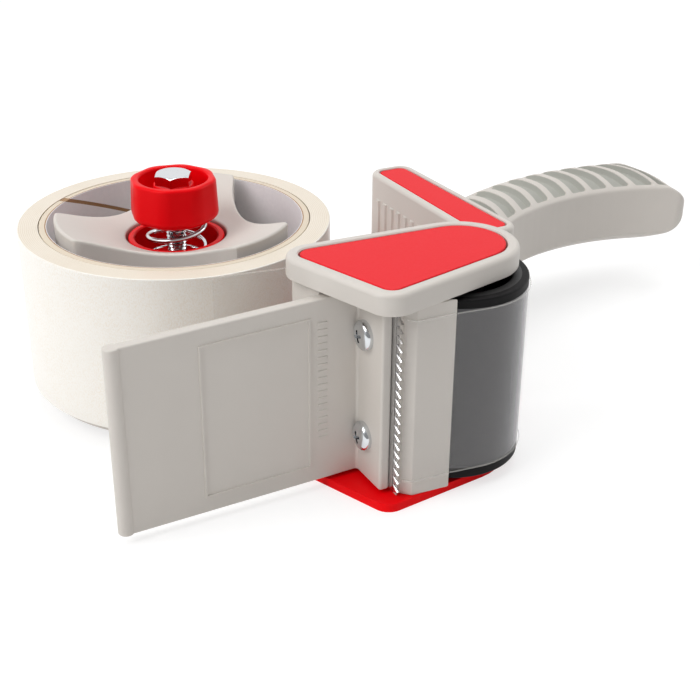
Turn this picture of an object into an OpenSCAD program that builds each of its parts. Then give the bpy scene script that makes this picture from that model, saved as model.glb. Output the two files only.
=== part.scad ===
// Hand-held packing tape dispenser, lying on its side plate.
// The origin is on the roller axis at the underside of the base plate, +X runs
// towards the end of the grip, +Y from the head to the tape roll and +Z up.

/* [Tape] */
// Width of the tape
tape_w = 48; // [44:0.5:52]
// Inner diameter of the cardboard core
core_bore = 76; // [75:0.5:78]
// Wall of the cardboard core
core_wall = 2.5; // [1.5:0.1:4]
// Thickness of the wound tape on its core
wound_t = 6; // [3.5:0.25:7.5]
// Thickness of the loose strip between roll and blade
strip_t = 0.3; // [0.2:0.05:0.4]
// Gap between the strip and whatever it runs over
strip_gap = 0.35; // [0.3:0.05:0.6]
// Roll axis along X, measured from the roller axis
roll_x = -50.5; // [-54:0.5:-48]
// Roll axis along Y, measured from the roller axis
roll_y = 76.5; // [75:0.5:82]

/* [Base plate] */
// Thickness of the base plate
base_t = 2.5; // [2:0.1:4]
// Radius of the plate's lobe under the hub
lobe_r = 26; // [20:1:32]
// Height of the tape's lower edge above the plate
roll_lift = 4.5; // [4:0.1:7]
// Radius of the plate's round end, concentric with the roller
foot_r = 16.3; // [15:0.1:17.5]
// Radius of the plate's two left corners
foot_corner_r = 5; // [3:0.5:6]
// Plate's front left corner centre
foot_front = [-27.7, -14.8];
// Plate's rear left corner centre
foot_rear = [-37.8, 11.3];

/* [Head cover] */
// Radius of the cover's round end, concentric with the roller
head_r = 17.5; // [17:0.1:18.5]
// Radius of the cover's two left corners
corner_r = 6; // [5:0.5:7]
// Cover's front left corner centre
front_corner = [-29.4, -18.7];
// Cover's rear left corner centre
rear_corner = [-38.5, 12.2];
// Height of the cover's rim wall
cover_h = 6; // [5.5:0.25:7]
// Gap between the roller's end and the cover
cover_gap = 1.5; // [1:0.1:2.5]
// Wall of the cover
cover_wall = 2.2; // [1.6:0.1:3]
// Width of the grey border round the red inlay
cover_border = 3.25; // [2.75:0.25:4.5]
// Thickness of the red inlays
inlay_t = 1; // [0.8:0.1:1.4]
// Depth of an inlay's face below its rim
inlay_sink = 0.25; // [0.1:0.05:0.6]
// Gap round an inlay
inlay_gap = 0.15; // [0.1:0.05:0.3]
// Edge rounding on top of cover and neck
edge_r = 1.4; // [0.6:0.1:2]

/* [Roller] */
// Outer diameter of the roller
roller_d = 40; // [38:0.5:41]
// Rubber thickness of the roller sleeve
sleeve_t = 2; // [1.5:0.1:3]
// Wall of the drum inside the sleeve
drum_wall = 2.2; // [1.6:0.1:3]
// How far the roller stands out above the tape
roller_over = 2.5; // [2:0.1:3]
// How far the roller stands out below the tape
roller_under = 3.4; // [3:0.1:3.6]
// Axle diameter
axle_d = 8; // [6:0.5:9]
// Radial running clearance of bushes, hub and screw
run_gap = 0.04; // [0.02:0.01:0.08]

/* [Wiper and blade] */
// Reach of the wiper plate along -X from the roller axis
wiper_reach = 98.5; // [90:0.5:104]
// Thickness of the wiper plate
wiper_t = 3.2; // [2.4:0.1:4]
// Diameter of the bead along the wiper's free end
bead_d = 4.4; // [3.6:0.1:5]
// Front face of the wiper plate
wiper_y = -1; // [-2:0.25:0]
// Height of the wiper plate
wiper_h = 52.4; // [48:0.2:53]
// Outer face of the screwed flange
flange_x = -30; // [-31:0.25:-29.5]
// Thickness of the screwed flange
flange_t = 3; // [2.4:0.1:3.4]
// Width of the flange beside the wiper's front face
flange_w = 12.8; // [11:0.2:13.4]
// Thickness of the serrated blade
blade_t = 0.6; // [0.5:0.1:0.8]
// Number of blade teeth
teeth = 21; // [16:1:32]
// Depth of a blade tooth
tooth_h = 2.5; // [1:0.1:3]
// Distance between the two blade screws
screw_span = 30.5; // [26:0.5:34]

/* [Grip] */
// Left face of the neck
neck_left = 20; // [19:0.25:21]
// Front end of the neck
neck_front = 19.5; // [18:0.5:21]
// Rear end of the neck
neck_rear = 85; // [83:0.5:86]
// Width of the neck at its rear end
neck_w_rear = 11.8; // [11:0.2:13]
// Width of the neck at its front end
neck_w_front = 16; // [15:0.2:17]
// Corner radius of the neck in plan
neck_r = 5; // [4:0.25:5.4]
// Gap between the top of the neck and the level of the cover's lower edge
neck_drop = 2; // [1:0.25:4]
// Thumb ribs on the neck
thumb_ribs = 10; // [6:1:12]
// Pitch of the thumb ribs
thumb_pitch = 3.4; // [2.8:0.1:3.6]
// Height of the grip's middle plane
grip_z = 31.5; // [30:0.5:33]
// Thickness of the grip at its crown
grip_t = 27; // [25:0.5:29]
// Height of the grip's front face
grip_edge = 17; // [15:0.5:19]
// Depth of the grip between its front and rear edge
grip_w = 24.5; // [23:0.5:26]
// Radius of the hollow front edge of the grip
finger_r = 76; // [72:1:84]
// Deepest point of the hollow front edge
finger_at = [97, 68];
// Front corner of the grip's end
toe = [139.5, 54.7];
// Rear corner of the grip's end
heel = [136.3, 84.3];
// Radius of the toe in plan
toe_r = 4; // [3:0.5:5]
// Radius of the heel in plan
heel_r = 9; // [6:0.5:11]
// Height of the flat band round the grip's end
end_band = 3; // [2:0.2:5]
// Length over which the grip's end is rounded off
end_round = 20; // [16:0.5:22]
// Number of grip grooves
grooves = 9; // [5:1:9]
// Pitch of the grip grooves
groove_pitch = 8.6; // [8.2:0.1:8.8]
// Width of a grip groove
groove_w = 6.2; // [4.5:0.1:6.4]
// Length of a grip groove
groove_l = 18.5; // [12:0.5:20]
// Depth of a grip groove
groove_depth = 2.2; // [1:0.1:2.6]
// First groove along X
groove_start = 54.4; // [53:0.2:56]
// Plain band left in front of the grooves
groove_land = 1.5; // [1:0.1:4]

/* [Hub] */
// Gap between the hub's arms and the core
hub_fit = 2.25; // [1:0.25:3]
// Smallest radius of the hub, in the middle of a scallop
scallop_r = 21.5; // [20.5:0.25:24]
// Half the angle that an arm's end covers
arm_half = 20; // [16:0.5:24]
// Turn of the first arm from +X
arm_turn = 56.5; // [0:0.5:120]
// Hub wall
hub_wall = 2.5; // [2:0.1:3]
// Rise of the arm ends above the top of the roll
arm_rise = 2.8; // [1:0.1:4]
// Fall of the dished top from the arm ends to the cup
dish_fall = 8; // [6:0.25:10]
// How far the hub's lower flange reaches beyond the core's bore
flange_over = 6; // [4:0.5:6]

/* [Brake] */
// Outer diameter of the red brake cup
cup_d = 29; // [27:0.5:30]
// Gap between cup and hub
cup_gap = 0.6; // [0.4:0.05:0.8]
// Depth of the brake cup
cup_h = 10.4; // [9:0.2:12]
// Outer diameter of the spring
spring_d = 18.8; // [18:0.1:19.4]
// Wire of the spring
wire_d = 1.4; // [1.2:0.1:1.6]
// Turns of the spring
turns = 3; // [2:0.25:3.5]
// Diameter of the hollow spindle
spindle_d = 14; // [12:0.25:14.5]
// Screw diameter
bolt_d = 6; // [5:0.25:6]
// Distance across the flats of the screw head
bolt_flats = 10; // [9:0.25:10.5]
// Knob diameter across its corners
knob_d = 26.4; // [25:0.2:28]
// Knob height
knob_h = 12.7; // [11:0.1:14]
// Height of the knob's lower edge above the cup's rim at the loosest setting
knob_gap = 5.5; // [5.2:0.1:9]

/* [Hidden] */
$fn = 64;
eps = 0.5;
seat = 0.3;
grey = "#cbc7c0";
red = "#e0121d";
inlay_red = "#f8414a";
black = "#2b2928";
film = "#ece6da";
board = "#d9d4cc";
zinc = "#c4c8cc";
brass_tone = "#c8a04a";

// Heights and diameters
roll_d = core_bore + 2 * core_wall + 2 * wound_t;
roll_z = base_t + roll_lift;
roll_top = roll_z + tape_w;
roller_z = roll_z - roller_under;
roller_len = tape_w + roller_over + roller_under;
cover_z = roller_z + roller_len + cover_gap;
cover_top = cover_z + cover_h;
recess_z = cover_top - inlay_sink - inlay_t;
deck_z = recess_z - cover_wall;
neck_top = cover_z - neck_drop;
wiper_gap = 0.6;
wiper_z = base_t + wiper_gap;

// Plans of plate and cover: three rounded corners, counter-clockwise
foot = [[foot_front.x, foot_front.y, foot_corner_r], [0, 0, foot_r],
        [foot_rear.x, foot_rear.y, foot_corner_r]];
head = [[front_corner.x, front_corner.y, corner_r], [0, 0, head_r], [rear_corner.x, rear_corner.y, corner_r]];

// Plan of the neck
neck = [[neck_left + neck_r, neck_front + neck_r, neck_r],
        [neck_left + neck_w_front - neck_r, neck_front + neck_r, neck_r],
        [neck_left + neck_w_rear - neck_r, neck_rear - neck_r, neck_r],
        [neck_left + neck_r, neck_rear - neck_r, neck_r]];
neck_border = 2.2;
neck_wall = 2.5;
thumb_from = 9;
thumb_low = 5.5;
thumb_depth = 0.9;

// Screws: small self-tapping ones in the frame
tap_r = 1.5;
tap_head_r = 3;
tap_head_h = 1.5;
tap_fit = 0.1;
post_r = 4;
post_front = 10;
post_rear = 12;
neck_posts = [[neck_left + neck_w_front / 2, neck_front + post_front],
              [neck_left + neck_w_rear / 2, neck_rear - post_rear]];
block_posts = [[-33, 9.5], [-21, -13]];
frame_tap = 14;
cover_tap = 12;

// Head block
block_gap = 1.5;
block_r = roller_d / 2 + strip_gap + strip_t + block_gap;
blade_x = flange_x + flange_t;
block_x = blade_x + blade_t;
guide_y = -19;
nose = [block_x + 3.8, guide_y + 0.6];
chamfer = [block_x + 1.3, guide_y + 3.3];
block_back = 15.5;
block_wall = 2.5;
block_left = rear_corner.x - corner_r + cover_wall + 2;
block_taper = 3.2;
block_corner = 3;
block_fit = 0.2;
seat_drop = 1;
blade_tip = guide_y + 0.8;
strip_tail = 0.8;
blade_z = base_t + 1;
blade_h = cover_z - eps - blade_z;
blade_root = wiper_y - 1.5;
flange_screw_y = wiper_y - 5.2;
flange_screws_z = [roll_z + tape_w / 2 - screw_span / 2, roll_z + tape_w / 2 + screw_span / 2];
pan_r = 2;
pan_head_r = 4.1;
pan_head_h = 2.6;
pan_tip = block_x + 4;

// Hub and brake
hub_r = core_bore / 2 - hub_fit;
flange_r = core_bore / 2 + flange_over;
arm_top = roll_top + arm_rise;
dish_z = arm_top - dish_fall;
cup_hole = cup_d / 2 + cup_gap;
cup_floor = 2;
cup_wall = 2;
cup_rim = dish_z - seat;
cup_z = cup_rim - cup_h;
hub_floor = cup_z - seat;
hub_floor_t = 2.5;
hub_bottom = base_t + 2 * seat;
flange_t_hub = 2.5;
hub_tube_r = spindle_d / 2 + 3;
scallop_d = (hub_r * hub_r - scallop_r * scallop_r) / (2 * (hub_r * cos(60 - arm_half) - scallop_r));
scallop_rad = scallop_d - scallop_r;
spindle_top = cup_z + cup_floor + 2.3;
spindle_flat = spindle_d / 2 - 1.4;
spindle_fit = 0.15;
bolt_way = bolt_d / 2 + 0.4;
insert_z = base_t + 4.5;
insert_h = 11;
insert_r = bolt_d / 2 + 1.4;
bolt_tip = insert_z + insert_h / 2;
knob_z = cup_rim + knob_gap;
knob_top = knob_z + knob_h;
knob_pocket = 2;
knob_web = 2.4;
knob_wall = 2.2;
post_knob_r = bolt_flats / 2 + 1;
post_over = 0.8;
washer_t = 1;
washer_gap = 0.1;
washer_top = knob_z + knob_pocket - washer_gap;
head_proud = 1.4;
head_h = 4;
head_z = knob_top + head_proud - head_h;
spring_z = cup_z + cup_floor;
spring_top = washer_top - washer_t;

// Points on an arc from angle a to angle b
function arc(c, r, a, b, n) = [for (i = [0:n]) c + r * [cos(a + (b - a) * i / n), sin(a + (b - a) * i / n)]];

// Outward direction of the tangent that runs from circle p to circle q
function side(p, q) =
    let (d = [q.x - p.x, q.y - p.y]) atan2(d.y, d.x) - acos((p[2] - q[2]) / norm(d));

// Outline of a belt round circles [x, y, r] given counter-clockwise
function belt(c, grow = 0) = [
    for (i = [0:len(c) - 1])
        let (n = len(c), p = c[(i + n - 1) % n], q = c[i], s = c[(i + 1) % n],
             a = side(p, q), turn = ((side(q, s) - a) % 360 + 360) % 360)
            each arc([q.x, q.y], q[2] + grow, a, a + turn, max(2, ceil(turn / 10)))
];

// Rounded corner at p between its neighbours a and b
function fillet(a, p, b, r, n = 6) =
    let (u = (a - p) / norm(a - p), v = (b - p) / norm(b - p), half = acos(u * v) / 2,
         c = p + (u + v) / norm(u + v) * r / sin(half), s = p + u * r / tan(half) - c,
         e = p + v * r / tan(half) - c, from = atan2(s.y, s.x),
         turn = ((atan2(e.y, e.x) - from) % 360 + 540) % 360 - 180)
        arc(c, r, from, from + turn, n);

// Both sides of a ribbon of thickness t along a path
function ribbon(p, t) =
    let (last = len(p) - 1,
         dir = [for (i = [0:last - 1]) (p[i + 1] - p[i]) / norm(p[i + 1] - p[i])],
         nrm = [for (i = [0:last])
             let (a = dir[max(0, i - 1)], b = dir[min(last - 1, i)], m = (a + b) / norm(a + b))
                 [-m.y, m.x] / (m * a)])
        concat([for (i = [0:last]) p[i] + nrm[i] * t / 2], [for (i = [last:-1:0]) p[i] - nrm[i] * t / 2]);

module plate(c, z0, z1, grow = 0) {
    translate([0, 0, z0]) linear_extrude(z1 - z0) polygon(belt(c, grow));
}

// A plate whose top edge is rounded with radius r
module soft_plate(c, z0, z1, r) {
    steps = 3;
    levels = concat([[z0, 0]], [for (k = [0:steps]) let (a = 90 * k / steps)
        [z1 - r + r * sin(a), -r * (1 - cos(a))]]);
    n = len(belt(c));
    rings = len(levels);
    points = [for (l = levels) for (p = belt(c, l[1])) [p.x, p.y, l[0]]];
    faces = concat([[for (i = [0:n - 1]) i]],
        [for (k = [0:rings - 2]) for (i = [0:n - 1]) each let (j = (i + 1) % n)
            [[k * n + j, k * n + i, (k + 1) * n + i], [k * n + j, (k + 1) * n + i, (k + 1) * n + j]]],
        [[for (i = [n - 1:-1:0]) (rings - 1) * n + i]]);
    polyhedron(points, faces);
}

module tube(x, y, z0, z1, r_out, r_in) {
    translate([x, y, z0]) difference() {
        cylinder(r = r_out, h = z1 - z0);
        translate([0, 0, -eps]) cylinder(r = r_in, h = z1 - z0 + 2 * eps);
    }
}

module rod(p, z0, z1, r) {
    translate([p.x, p.y, z0]) cylinder(r = r, h = z1 - z0);
}

// Circle with two opposite flats
module two_flats(r, flat, h) {
    intersection() {
        cylinder(r = r, h = h);
        translate([-flat, -2 * r, 0]) cube([2 * flat, 4 * r, h]);
    }
}

// Base plate with the spindle that carries the hub and the socket of the roller axle
module base_plate() {
    tail = [[0, 0, foot_r - 2], [neck[1].x, neck[1].y, neck_r], [neck[2].x, neck[2].y, neck_r],
            [roll_x, roll_y, lobe_r]];
    color(red) difference() {
        union() {
            plate(foot, 0, base_t);
            plate(tail, 0, base_t);
            translate([roll_x, roll_y, base_t - eps]) {
                cylinder(r = hub_tube_r, h = eps + seat);
                cylinder(r = spindle_d / 2, h = cup_z - base_t + eps - seat);
                two_flats(spindle_d / 2, spindle_flat, spindle_top - base_t + eps);
            }
            rod([0, 0], base_t - eps, roller_z - seat, axle_d / 2 + 3);
        }
        rod([roll_x, roll_y], insert_z - eps, spindle_top + eps, bolt_way);
        rod([roll_x, roll_y], insert_z - 2, insert_z + insert_h, insert_r);
        rod([0, 0], base_t / 2, roller_z, axle_d / 2 + tap_fit / 2);
        for (p = concat(block_posts, neck_posts)) {
            rod(p, -eps, base_t + eps, tap_r + tap_fit);
            translate([p.x, p.y, 0])
                cylinder(r1 = tap_head_r + tap_fit, r2 = tap_r + tap_fit, h = tap_head_h + tap_fit);
            rod(p, -eps, tap_fit / 4, tap_head_r + tap_fit);
        }
    }
}

// Plan of the head block: blade seat, nose, guide face, hollow round the roller, back wall
function block_plan() =
    let (guide_end = [-sqrt(block_r * block_r - guide_y * guide_y), guide_y],
         back_x = -sqrt(block_r * block_r - block_back * block_back),
         from = atan2(guide_end.y, guide_end.x) + 360, to = atan2(block_back, back_x),
         root = wiper_y + wiper_t, foot_point = [block_left + block_taper, root])
        concat([[block_x, root], [block_x, chamfer.y - seat_drop], chamfer, nose],
            arc([0, 0], block_r, from, to, 16),
            fillet([back_x, block_back], [block_left, block_back], foot_point, block_corner),
            [foot_point]);

// Grey block between plate and cover: it guides the tape and carries blade and wiper
module head_block() {
    color(grey) difference() {
        union() {
            difference() {
                union() {
                    translate([0, 0, base_t]) linear_extrude(cover_z - block_fit - base_t)
                        polygon(block_plan());
                    intersection() {
                        translate([0, 0, base_t]) linear_extrude(deck_z - base_t) polygon(block_plan());
                        plate(head, base_t, deck_z, -cover_wall - block_fit);
                    }
                }
                translate([0, 0, base_t - eps]) linear_extrude(deck_z - base_t - block_wall + eps)
                    intersection() {
                        offset(delta = -block_wall) polygon(block_plan());
                        translate([block_left, wiper_y + wiper_t + block_wall / 2]) square(-2 * block_left);
                    }
            }
            rod(block_posts[0], base_t, deck_z, post_r);
        }
        for (p = block_posts) {
            rod(p, base_t - eps, base_t + frame_tap, tap_r + tap_fit / 2);
            rod(p, deck_z - cover_tap, deck_z + eps, tap_r + tap_fit / 2);
        }
        for (z = flange_screws_z)
            translate([block_x - eps, flange_screw_y, z]) rotate([0, 90, 0])
                cylinder(r = pan_r + tap_fit / 2, h = pan_tip - block_x + 2 * eps);
    }
}

// Head cover: a shallow shell with a recess for the inlay
module head_cover() {
    color(grey) difference() {
        soft_plate(head, cover_z, cover_top, edge_r);
        plate(head, cover_z - eps, deck_z, -cover_wall);
        plate(head, recess_z, cover_top + eps, -cover_border);
        for (p = concat([[0, 0]], block_posts)) {
            rod(p, deck_z - eps, cover_top, tap_r + tap_fit);
            rod(p, recess_z - tap_head_h, cover_top, tap_head_r + tap_fit);
        }
    }
}

module cover_inlay() {
    color(inlay_red) plate(head, recess_z, recess_z + inlay_t, -cover_border - inlay_gap);
}

// Screws under the inlay: into the axle and into the head block
module cover_screws() {
    color(zinc) for (p = concat([[0, 0]], block_posts)) {
        rod(p, recess_z - tap_head_h, recess_z - tap_fit, tap_head_r);
        rod(p, deck_z - cover_tap + 2, recess_z - tap_head_h + eps, tap_r);
    }
}

// L-shaped wiper plate: a long smoothing blade and the flange that is screwed to the block
module wiper_plate() {
    back = wiper_y + wiper_t;
    tip = -wiper_reach + bead_d / 2;
    foot = wiper_y - flange_w;
    frame_x = [-75, -44];
    frame_inset = 4.5;
    frame_z = [wiper_z + frame_inset, wiper_z + wiper_h - frame_inset];
    ridge = 0.8;
    ridge_h = 0.4;
    color(grey) difference() {
        union() {
            translate([0, 0, wiper_z]) linear_extrude(wiper_h) {
                polygon(concat([[tip, wiper_y]],
                    fillet([tip, wiper_y], [flange_x, wiper_y], [flange_x, foot], 0.6),
                    fillet([flange_x, back], [flange_x, foot], [blade_x, foot], 0.8),
                    fillet([flange_x, foot], [blade_x, foot], [blade_x, back], 0.8),
                    [[blade_x, back], [tip, back]]));
                translate([tip, wiper_y + wiper_t / 2]) circle(d = bead_d);
            }
            translate([frame_x[0], wiper_y - ridge_h, frame_z[0]]) difference() {
                cube([frame_x[1] - frame_x[0], ridge_h + eps, frame_z[1] - frame_z[0]]);
                translate([ridge, -eps, ridge])
                    cube([frame_x[1] - frame_x[0] - 2 * ridge, ridge_h + 3 * eps,
                          frame_z[1] - frame_z[0] - 2 * ridge]);
            }
        }
        for (z = flange_screws_z)
            translate([flange_x - eps, flange_screw_y, z]) rotate([0, 90, 0])
                cylinder(r = pan_r + tap_fit, h = flange_t + 2 * eps);
    }
}

// Two pan-head screws that clamp wiper flange and blade
module wiper_screws() {
    color(zinc) for (z = flange_screws_z)
        translate([flange_x, flange_screw_y, z]) rotate([0, 90, 0]) {
            cylinder(r = pan_r, h = pan_tip - flange_x);
            translate([0, 0, -pan_head_h]) intersection() {
                cylinder(r = pan_head_r, h = pan_head_h);
                translate([0, 0, pan_head_r + 1.2]) sphere(r = pan_head_r + 1.2);
            }
        }
}

// Serrated blade, teeth towards the front
module cutting_blade() {
    pitch = blade_h / teeth;
    color(zinc) difference() {
        translate([blade_x, 0, 0]) rotate([90, 0, 90]) linear_extrude(blade_t)
            polygon(concat([[blade_root, blade_z + blade_h], [blade_root, blade_z]],
                [for (i = [0:teeth - 1]) each [[blade_tip + tooth_h, blade_z + i * pitch],
                                               [blade_tip, blade_z + (i + 0.5) * pitch]]],
                [[blade_tip + tooth_h, blade_z + blade_h]]));
        for (z = flange_screws_z)
            translate([blade_x - eps, flange_screw_y, z]) rotate([0, 90, 0])
                cylinder(r = pan_r + tap_fit, h = blade_t + 2 * eps);
    }
}

// Grip: a curved bar round the middle of the finger hollow
finger_c = [finger_at.x, finger_at.y - finger_r];
grip_back = finger_r + grip_w;
grip_root = neck_left + neck_w_rear - 2;
crown_rise = (grip_t - grip_edge) / 2;
crown_r = (grip_w * grip_w / 4 + crown_rise * crown_rise) / (2 * crown_rise);
function front_y(x) = finger_c.y + sqrt(finger_r * finger_r - (x - finger_c.x) * (x - finger_c.x));
function on_arc(r, x) = acos((x - finger_c.x) / r);
function grip_plan() =
    let (steps = 40, straight = 7,
         toe_a = on_arc(finger_r, toe.x - straight), heel_a = on_arc(grip_back, heel.x - straight),
         front = arc(finger_c, finger_r, on_arc(finger_r, grip_root), toe_a, steps),
         back = arc(finger_c, grip_back, heel_a, on_arc(grip_back, grip_root), steps))
        concat(front, fillet(front[steps], toe, heel, toe_r), fillet(toe, heel, back[0], heel_r, 10), back);

// Bar with crowned upper and lower faces, thinner by inset on both
module crown(inset) {
    steps = 12;
    r = crown_r - inset;
    reach = asin((grip_w / 2 + 1) / crown_r);
    mid = finger_r + grip_w / 2;
    centre = grip_t / 2 - crown_r;
    top = [for (i = [0:steps]) let (a = 90 - reach + 2 * reach * i / steps)
        [mid + r * cos(a), centre + r * sin(a)]];
    translate([finger_c.x, finger_c.y, grip_z]) rotate_extrude($fn = 180)
        polygon(concat(top, [for (i = [steps:-1:0]) [top[i].x, -top[i].y]]));
}

// Rounded end of the grip: its half height grows from the end band to the full thickness
module end_lens() {
    steps = 8;
    bulge = 1.4;
    inward = atan2(heel.y - toe.y, heel.x - toe.x) + 90;
    half = [for (i = [0:steps]) let (d = pow(i / steps, 1.5))
        [end_round * d, end_band / 2 + (grip_t - end_band) / 2 * pow(1 - pow(1 - d, bulge), 1 / bulge)]];
    far = finger_r + grip_back;
    profile = concat(half, [[far, grip_t / 2]]);
    translate([toe.x, toe.y, grip_z]) rotate(inward) rotate([90, 0, 0]) translate([0, 0, -grip_back])
        linear_extrude(2 * grip_back)
            polygon(concat(profile, [for (i = [len(profile) - 1:-1:0]) [profile[i].x, -profile[i].y]]));
}

module grip_grooves() {
    lean_first = 9;
    lean_more = 11;
    difference() {
        intersection() {
            for (i = [0:grooves - 1]) {
                x = groove_start + i * groove_pitch;
                lean = lean_first + lean_more * pow(i / (grooves - 1), 2);
                translate([x, front_y(x), grip_z - grip_t]) rotate(lean)
                    translate([-groove_w / 2, -groove_w, 0]) cube([groove_w, 2 * grip_w, 2 * grip_t]);
            }
            tube(finger_c.x, finger_c.y, grip_z - grip_t, grip_z + grip_t,
                finger_r + groove_land + groove_l, finger_r + groove_land, $fn = 180);
        }
        crown(groove_depth);
    }
}

module grip() {
    color(grey) difference() {
        union() {
            soft_plate(neck, base_t, neck_top, edge_r);
            difference() {
                intersection() {
                    translate([0, 0, grip_z - grip_t]) linear_extrude(2 * grip_t) polygon(grip_plan());
                    crown(0);
                    end_lens();
                }
                grip_grooves();
            }
        }
        difference() {
            plate(neck, base_t - eps, neck_top - 2 * neck_wall, -neck_wall);
            for (p = neck_posts) rod(p, base_t - 2 * eps, neck_top, post_r);
        }
        plate(neck, neck_top - inlay_sink - inlay_t, neck_top + eps, -neck_border);
        for (p = neck_posts) rod(p, base_t - eps, base_t + frame_tap, tap_r + tap_fit / 2);
        for (i = [0:thumb_ribs - 1])
            translate([neck_left - eps, neck_rear - thumb_from - i * thumb_pitch, base_t + thumb_low])
                cube([eps + thumb_depth, thumb_pitch / 2, neck_top - base_t - 2 * thumb_low]);
    }
}

module neck_inlay() {
    low = neck_top - inlay_sink - inlay_t;
    color(inlay_red) plate(neck, low, low + inlay_t, -neck_border - inlay_gap);
}

// Countersunk screws that hold block and grip from below
module frame_screws() {
    color(zinc) for (p = concat(block_posts, neck_posts)) {
        translate([p.x, p.y, tap_fit / 2]) cylinder(r1 = tap_head_r, r2 = tap_r, h = tap_head_h);
        rod(p, tap_head_h, base_t + frame_tap - 2, tap_r);
    }
}

module roller_axle() {
    color(zinc) difference() {
        rod([0, 0], base_t / 2, deck_z, axle_d / 2);
        rod([0, 0], deck_z - cover_tap, deck_z + eps, tap_r + tap_fit / 2);
    }
}

// Corner p of the path a, p, b moved to its right by d
function moved(a, p, b, d) =
    let (u = (p - a) / norm(p - a), v = (b - p) / norm(b - p), m = [u.y + v.y, -u.x - v.x])
        p + m * d / (1 + u * v);

// Route of the strip: off the front of the roll, round the roller, over the guide to the blade
function strip_path() =
    let (lift = strip_gap + strip_t / 2, r0 = roller_d / 2 + lift, r1 = roll_d / 2 + lift,
         d = norm([roll_x, roll_y]), on = atan2(roll_y, roll_x) - acos((r0 + r1) / d),
         start = [roll_x, roll_y] - r1 * [cos(on), sin(on)],
         over = strip_t / 2 + tap_fit,
         guide_end = [-sqrt(block_r * block_r - guide_y * guide_y), guide_y],
         tail = chamfer + strip_tail * (nose - chamfer) / norm(nose - chamfer),
         edge = moved(2 * guide_end - nose, guide_end, nose, -over),
         off = atan2(edge.y, edge.x) + acos(r0 / norm(edge)),
         bend = moved(guide_end, nose, tail, -over),
         stop = moved(nose, tail, 2 * tail - nose, -over))
        concat([start], arc([0, 0], r0, on, off, 36), [edge, bend, stop]);

module tape_strip() {
    color(film) translate([0, 0, roll_z]) linear_extrude(tape_w) polygon(ribbon(strip_path(), strip_t));
}

// Cup that the spring presses on the hub, held from turning by the spindle's flats
module brake_cup() {
    color(red) translate([roll_x, roll_y, cup_z]) difference() {
        cylinder(r = cup_d / 2, h = cup_h);
        translate([0, 0, cup_floor]) cylinder(r = cup_d / 2 - cup_wall, h = cup_h);
        translate([0, 0, -eps]) two_flats(spindle_d / 2 + spindle_fit, spindle_flat + spindle_fit, cup_h);
    }
}

module spindle_insert() {
    color(brass_tone) tube(roll_x, roll_y, insert_z, insert_z + insert_h, insert_r, bolt_d / 2 + run_gap);
}

module roller_sleeve() {
    color(black) tube(0, 0, roller_z, roller_z + roller_len, roller_d / 2, roller_d / 2 - sleeve_t);
}

bush_wall = 2;
bush_r = axle_d / 2 + bush_wall;
bush_h = 8;
web_inset = 12;
boss_inset = 1;
join = 0.01;

// Drum inside the sleeve: rim, web and a hub for the two bushes
module roller_drum() {
    rim = roller_d / 2 - sleeve_t;
    color(black) {
        tube(0, 0, roller_z, roller_z + roller_len, rim, rim - drum_wall);
        tube(0, 0, roller_z + web_inset, roller_z + roller_len - web_inset, rim - drum_wall + join,
            bush_r + bush_wall);
        tube(0, 0, roller_z + boss_inset, roller_z + roller_len - boss_inset, bush_r + bush_wall + join,
            bush_r);
    }
}

module roller_bushes() {
    color(film) for (z = [roller_z, roller_z + roller_len - bush_h])
        tube(0, 0, z, z + bush_h, bush_r, axle_d / 2 + run_gap);
}

module scallops(grow, z0, z1) {
    for (k = [0:2]) rotate(arm_turn + 60 + 120 * k) translate([scallop_d, 0, z0])
        cylinder(r = scallop_rad + grow, h = z1 - z0, $fn = 128);
}

// Three-armed hub with a dished top: a shell that is open below, with the bearing tube in its middle
module hub() {
    inner = cup_hole + hub_wall;
    outer = hub_r - hub_wall;
    color(grey) translate([roll_x, roll_y, 0]) difference() {
        union() {
            difference() {
                rotate_extrude($fn = 128)
                    polygon([[cup_hole - eps, roll_z], [hub_r, roll_z], [hub_r, arm_top], [cup_hole, dish_z],
                        [cup_hole - eps, dish_z]]);
                scallops(0, -eps, arm_top + eps);
                difference() {
                    rotate_extrude($fn = 128)
                        polygon([[inner, 0], [outer, 0], [outer, arm_top - 1.2 * hub_wall],
                            [inner, dish_z - hub_wall]]);
                    scallops(hub_wall, -eps, arm_top + eps);
                }
            }
            translate([0, 0, hub_floor - hub_floor_t]) cylinder(r = cup_hole, h = hub_floor_t);
            translate([0, 0, hub_bottom]) cylinder(r = hub_tube_r, h = hub_floor - hub_bottom);
        }
        translate([0, 0, hub_bottom - eps]) cylinder(r = spindle_d / 2 + run_gap, h = hub_floor);
        translate([0, 0, hub_floor]) cylinder(r = cup_hole, h = arm_top);
        tube(0, 0, roll_z - eps, hub_floor - hub_floor_t, cup_hole, hub_tube_r);
    }
}

// Flange under the hub that the roll stands on
module hub_flange() {
    color(grey) tube(roll_x, roll_y, roll_z - flange_t_hub, roll_z, flange_r, hub_tube_r + tap_fit);
}

module tape_core() {
    color(board) tube(roll_x, roll_y, roll_z, roll_top, core_bore / 2 + core_wall, core_bore / 2);
}

module tape_wound() {
    color(film) tube(roll_x, roll_y, roll_z, roll_top, roll_d / 2, core_bore / 2 + core_wall);
}

module thrust_washer() {
    washer_over = 0.8;
    color(zinc) tube(roll_x, roll_y, spring_top, washer_top, spring_d / 2 + washer_over, bolt_way);
}

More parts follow.
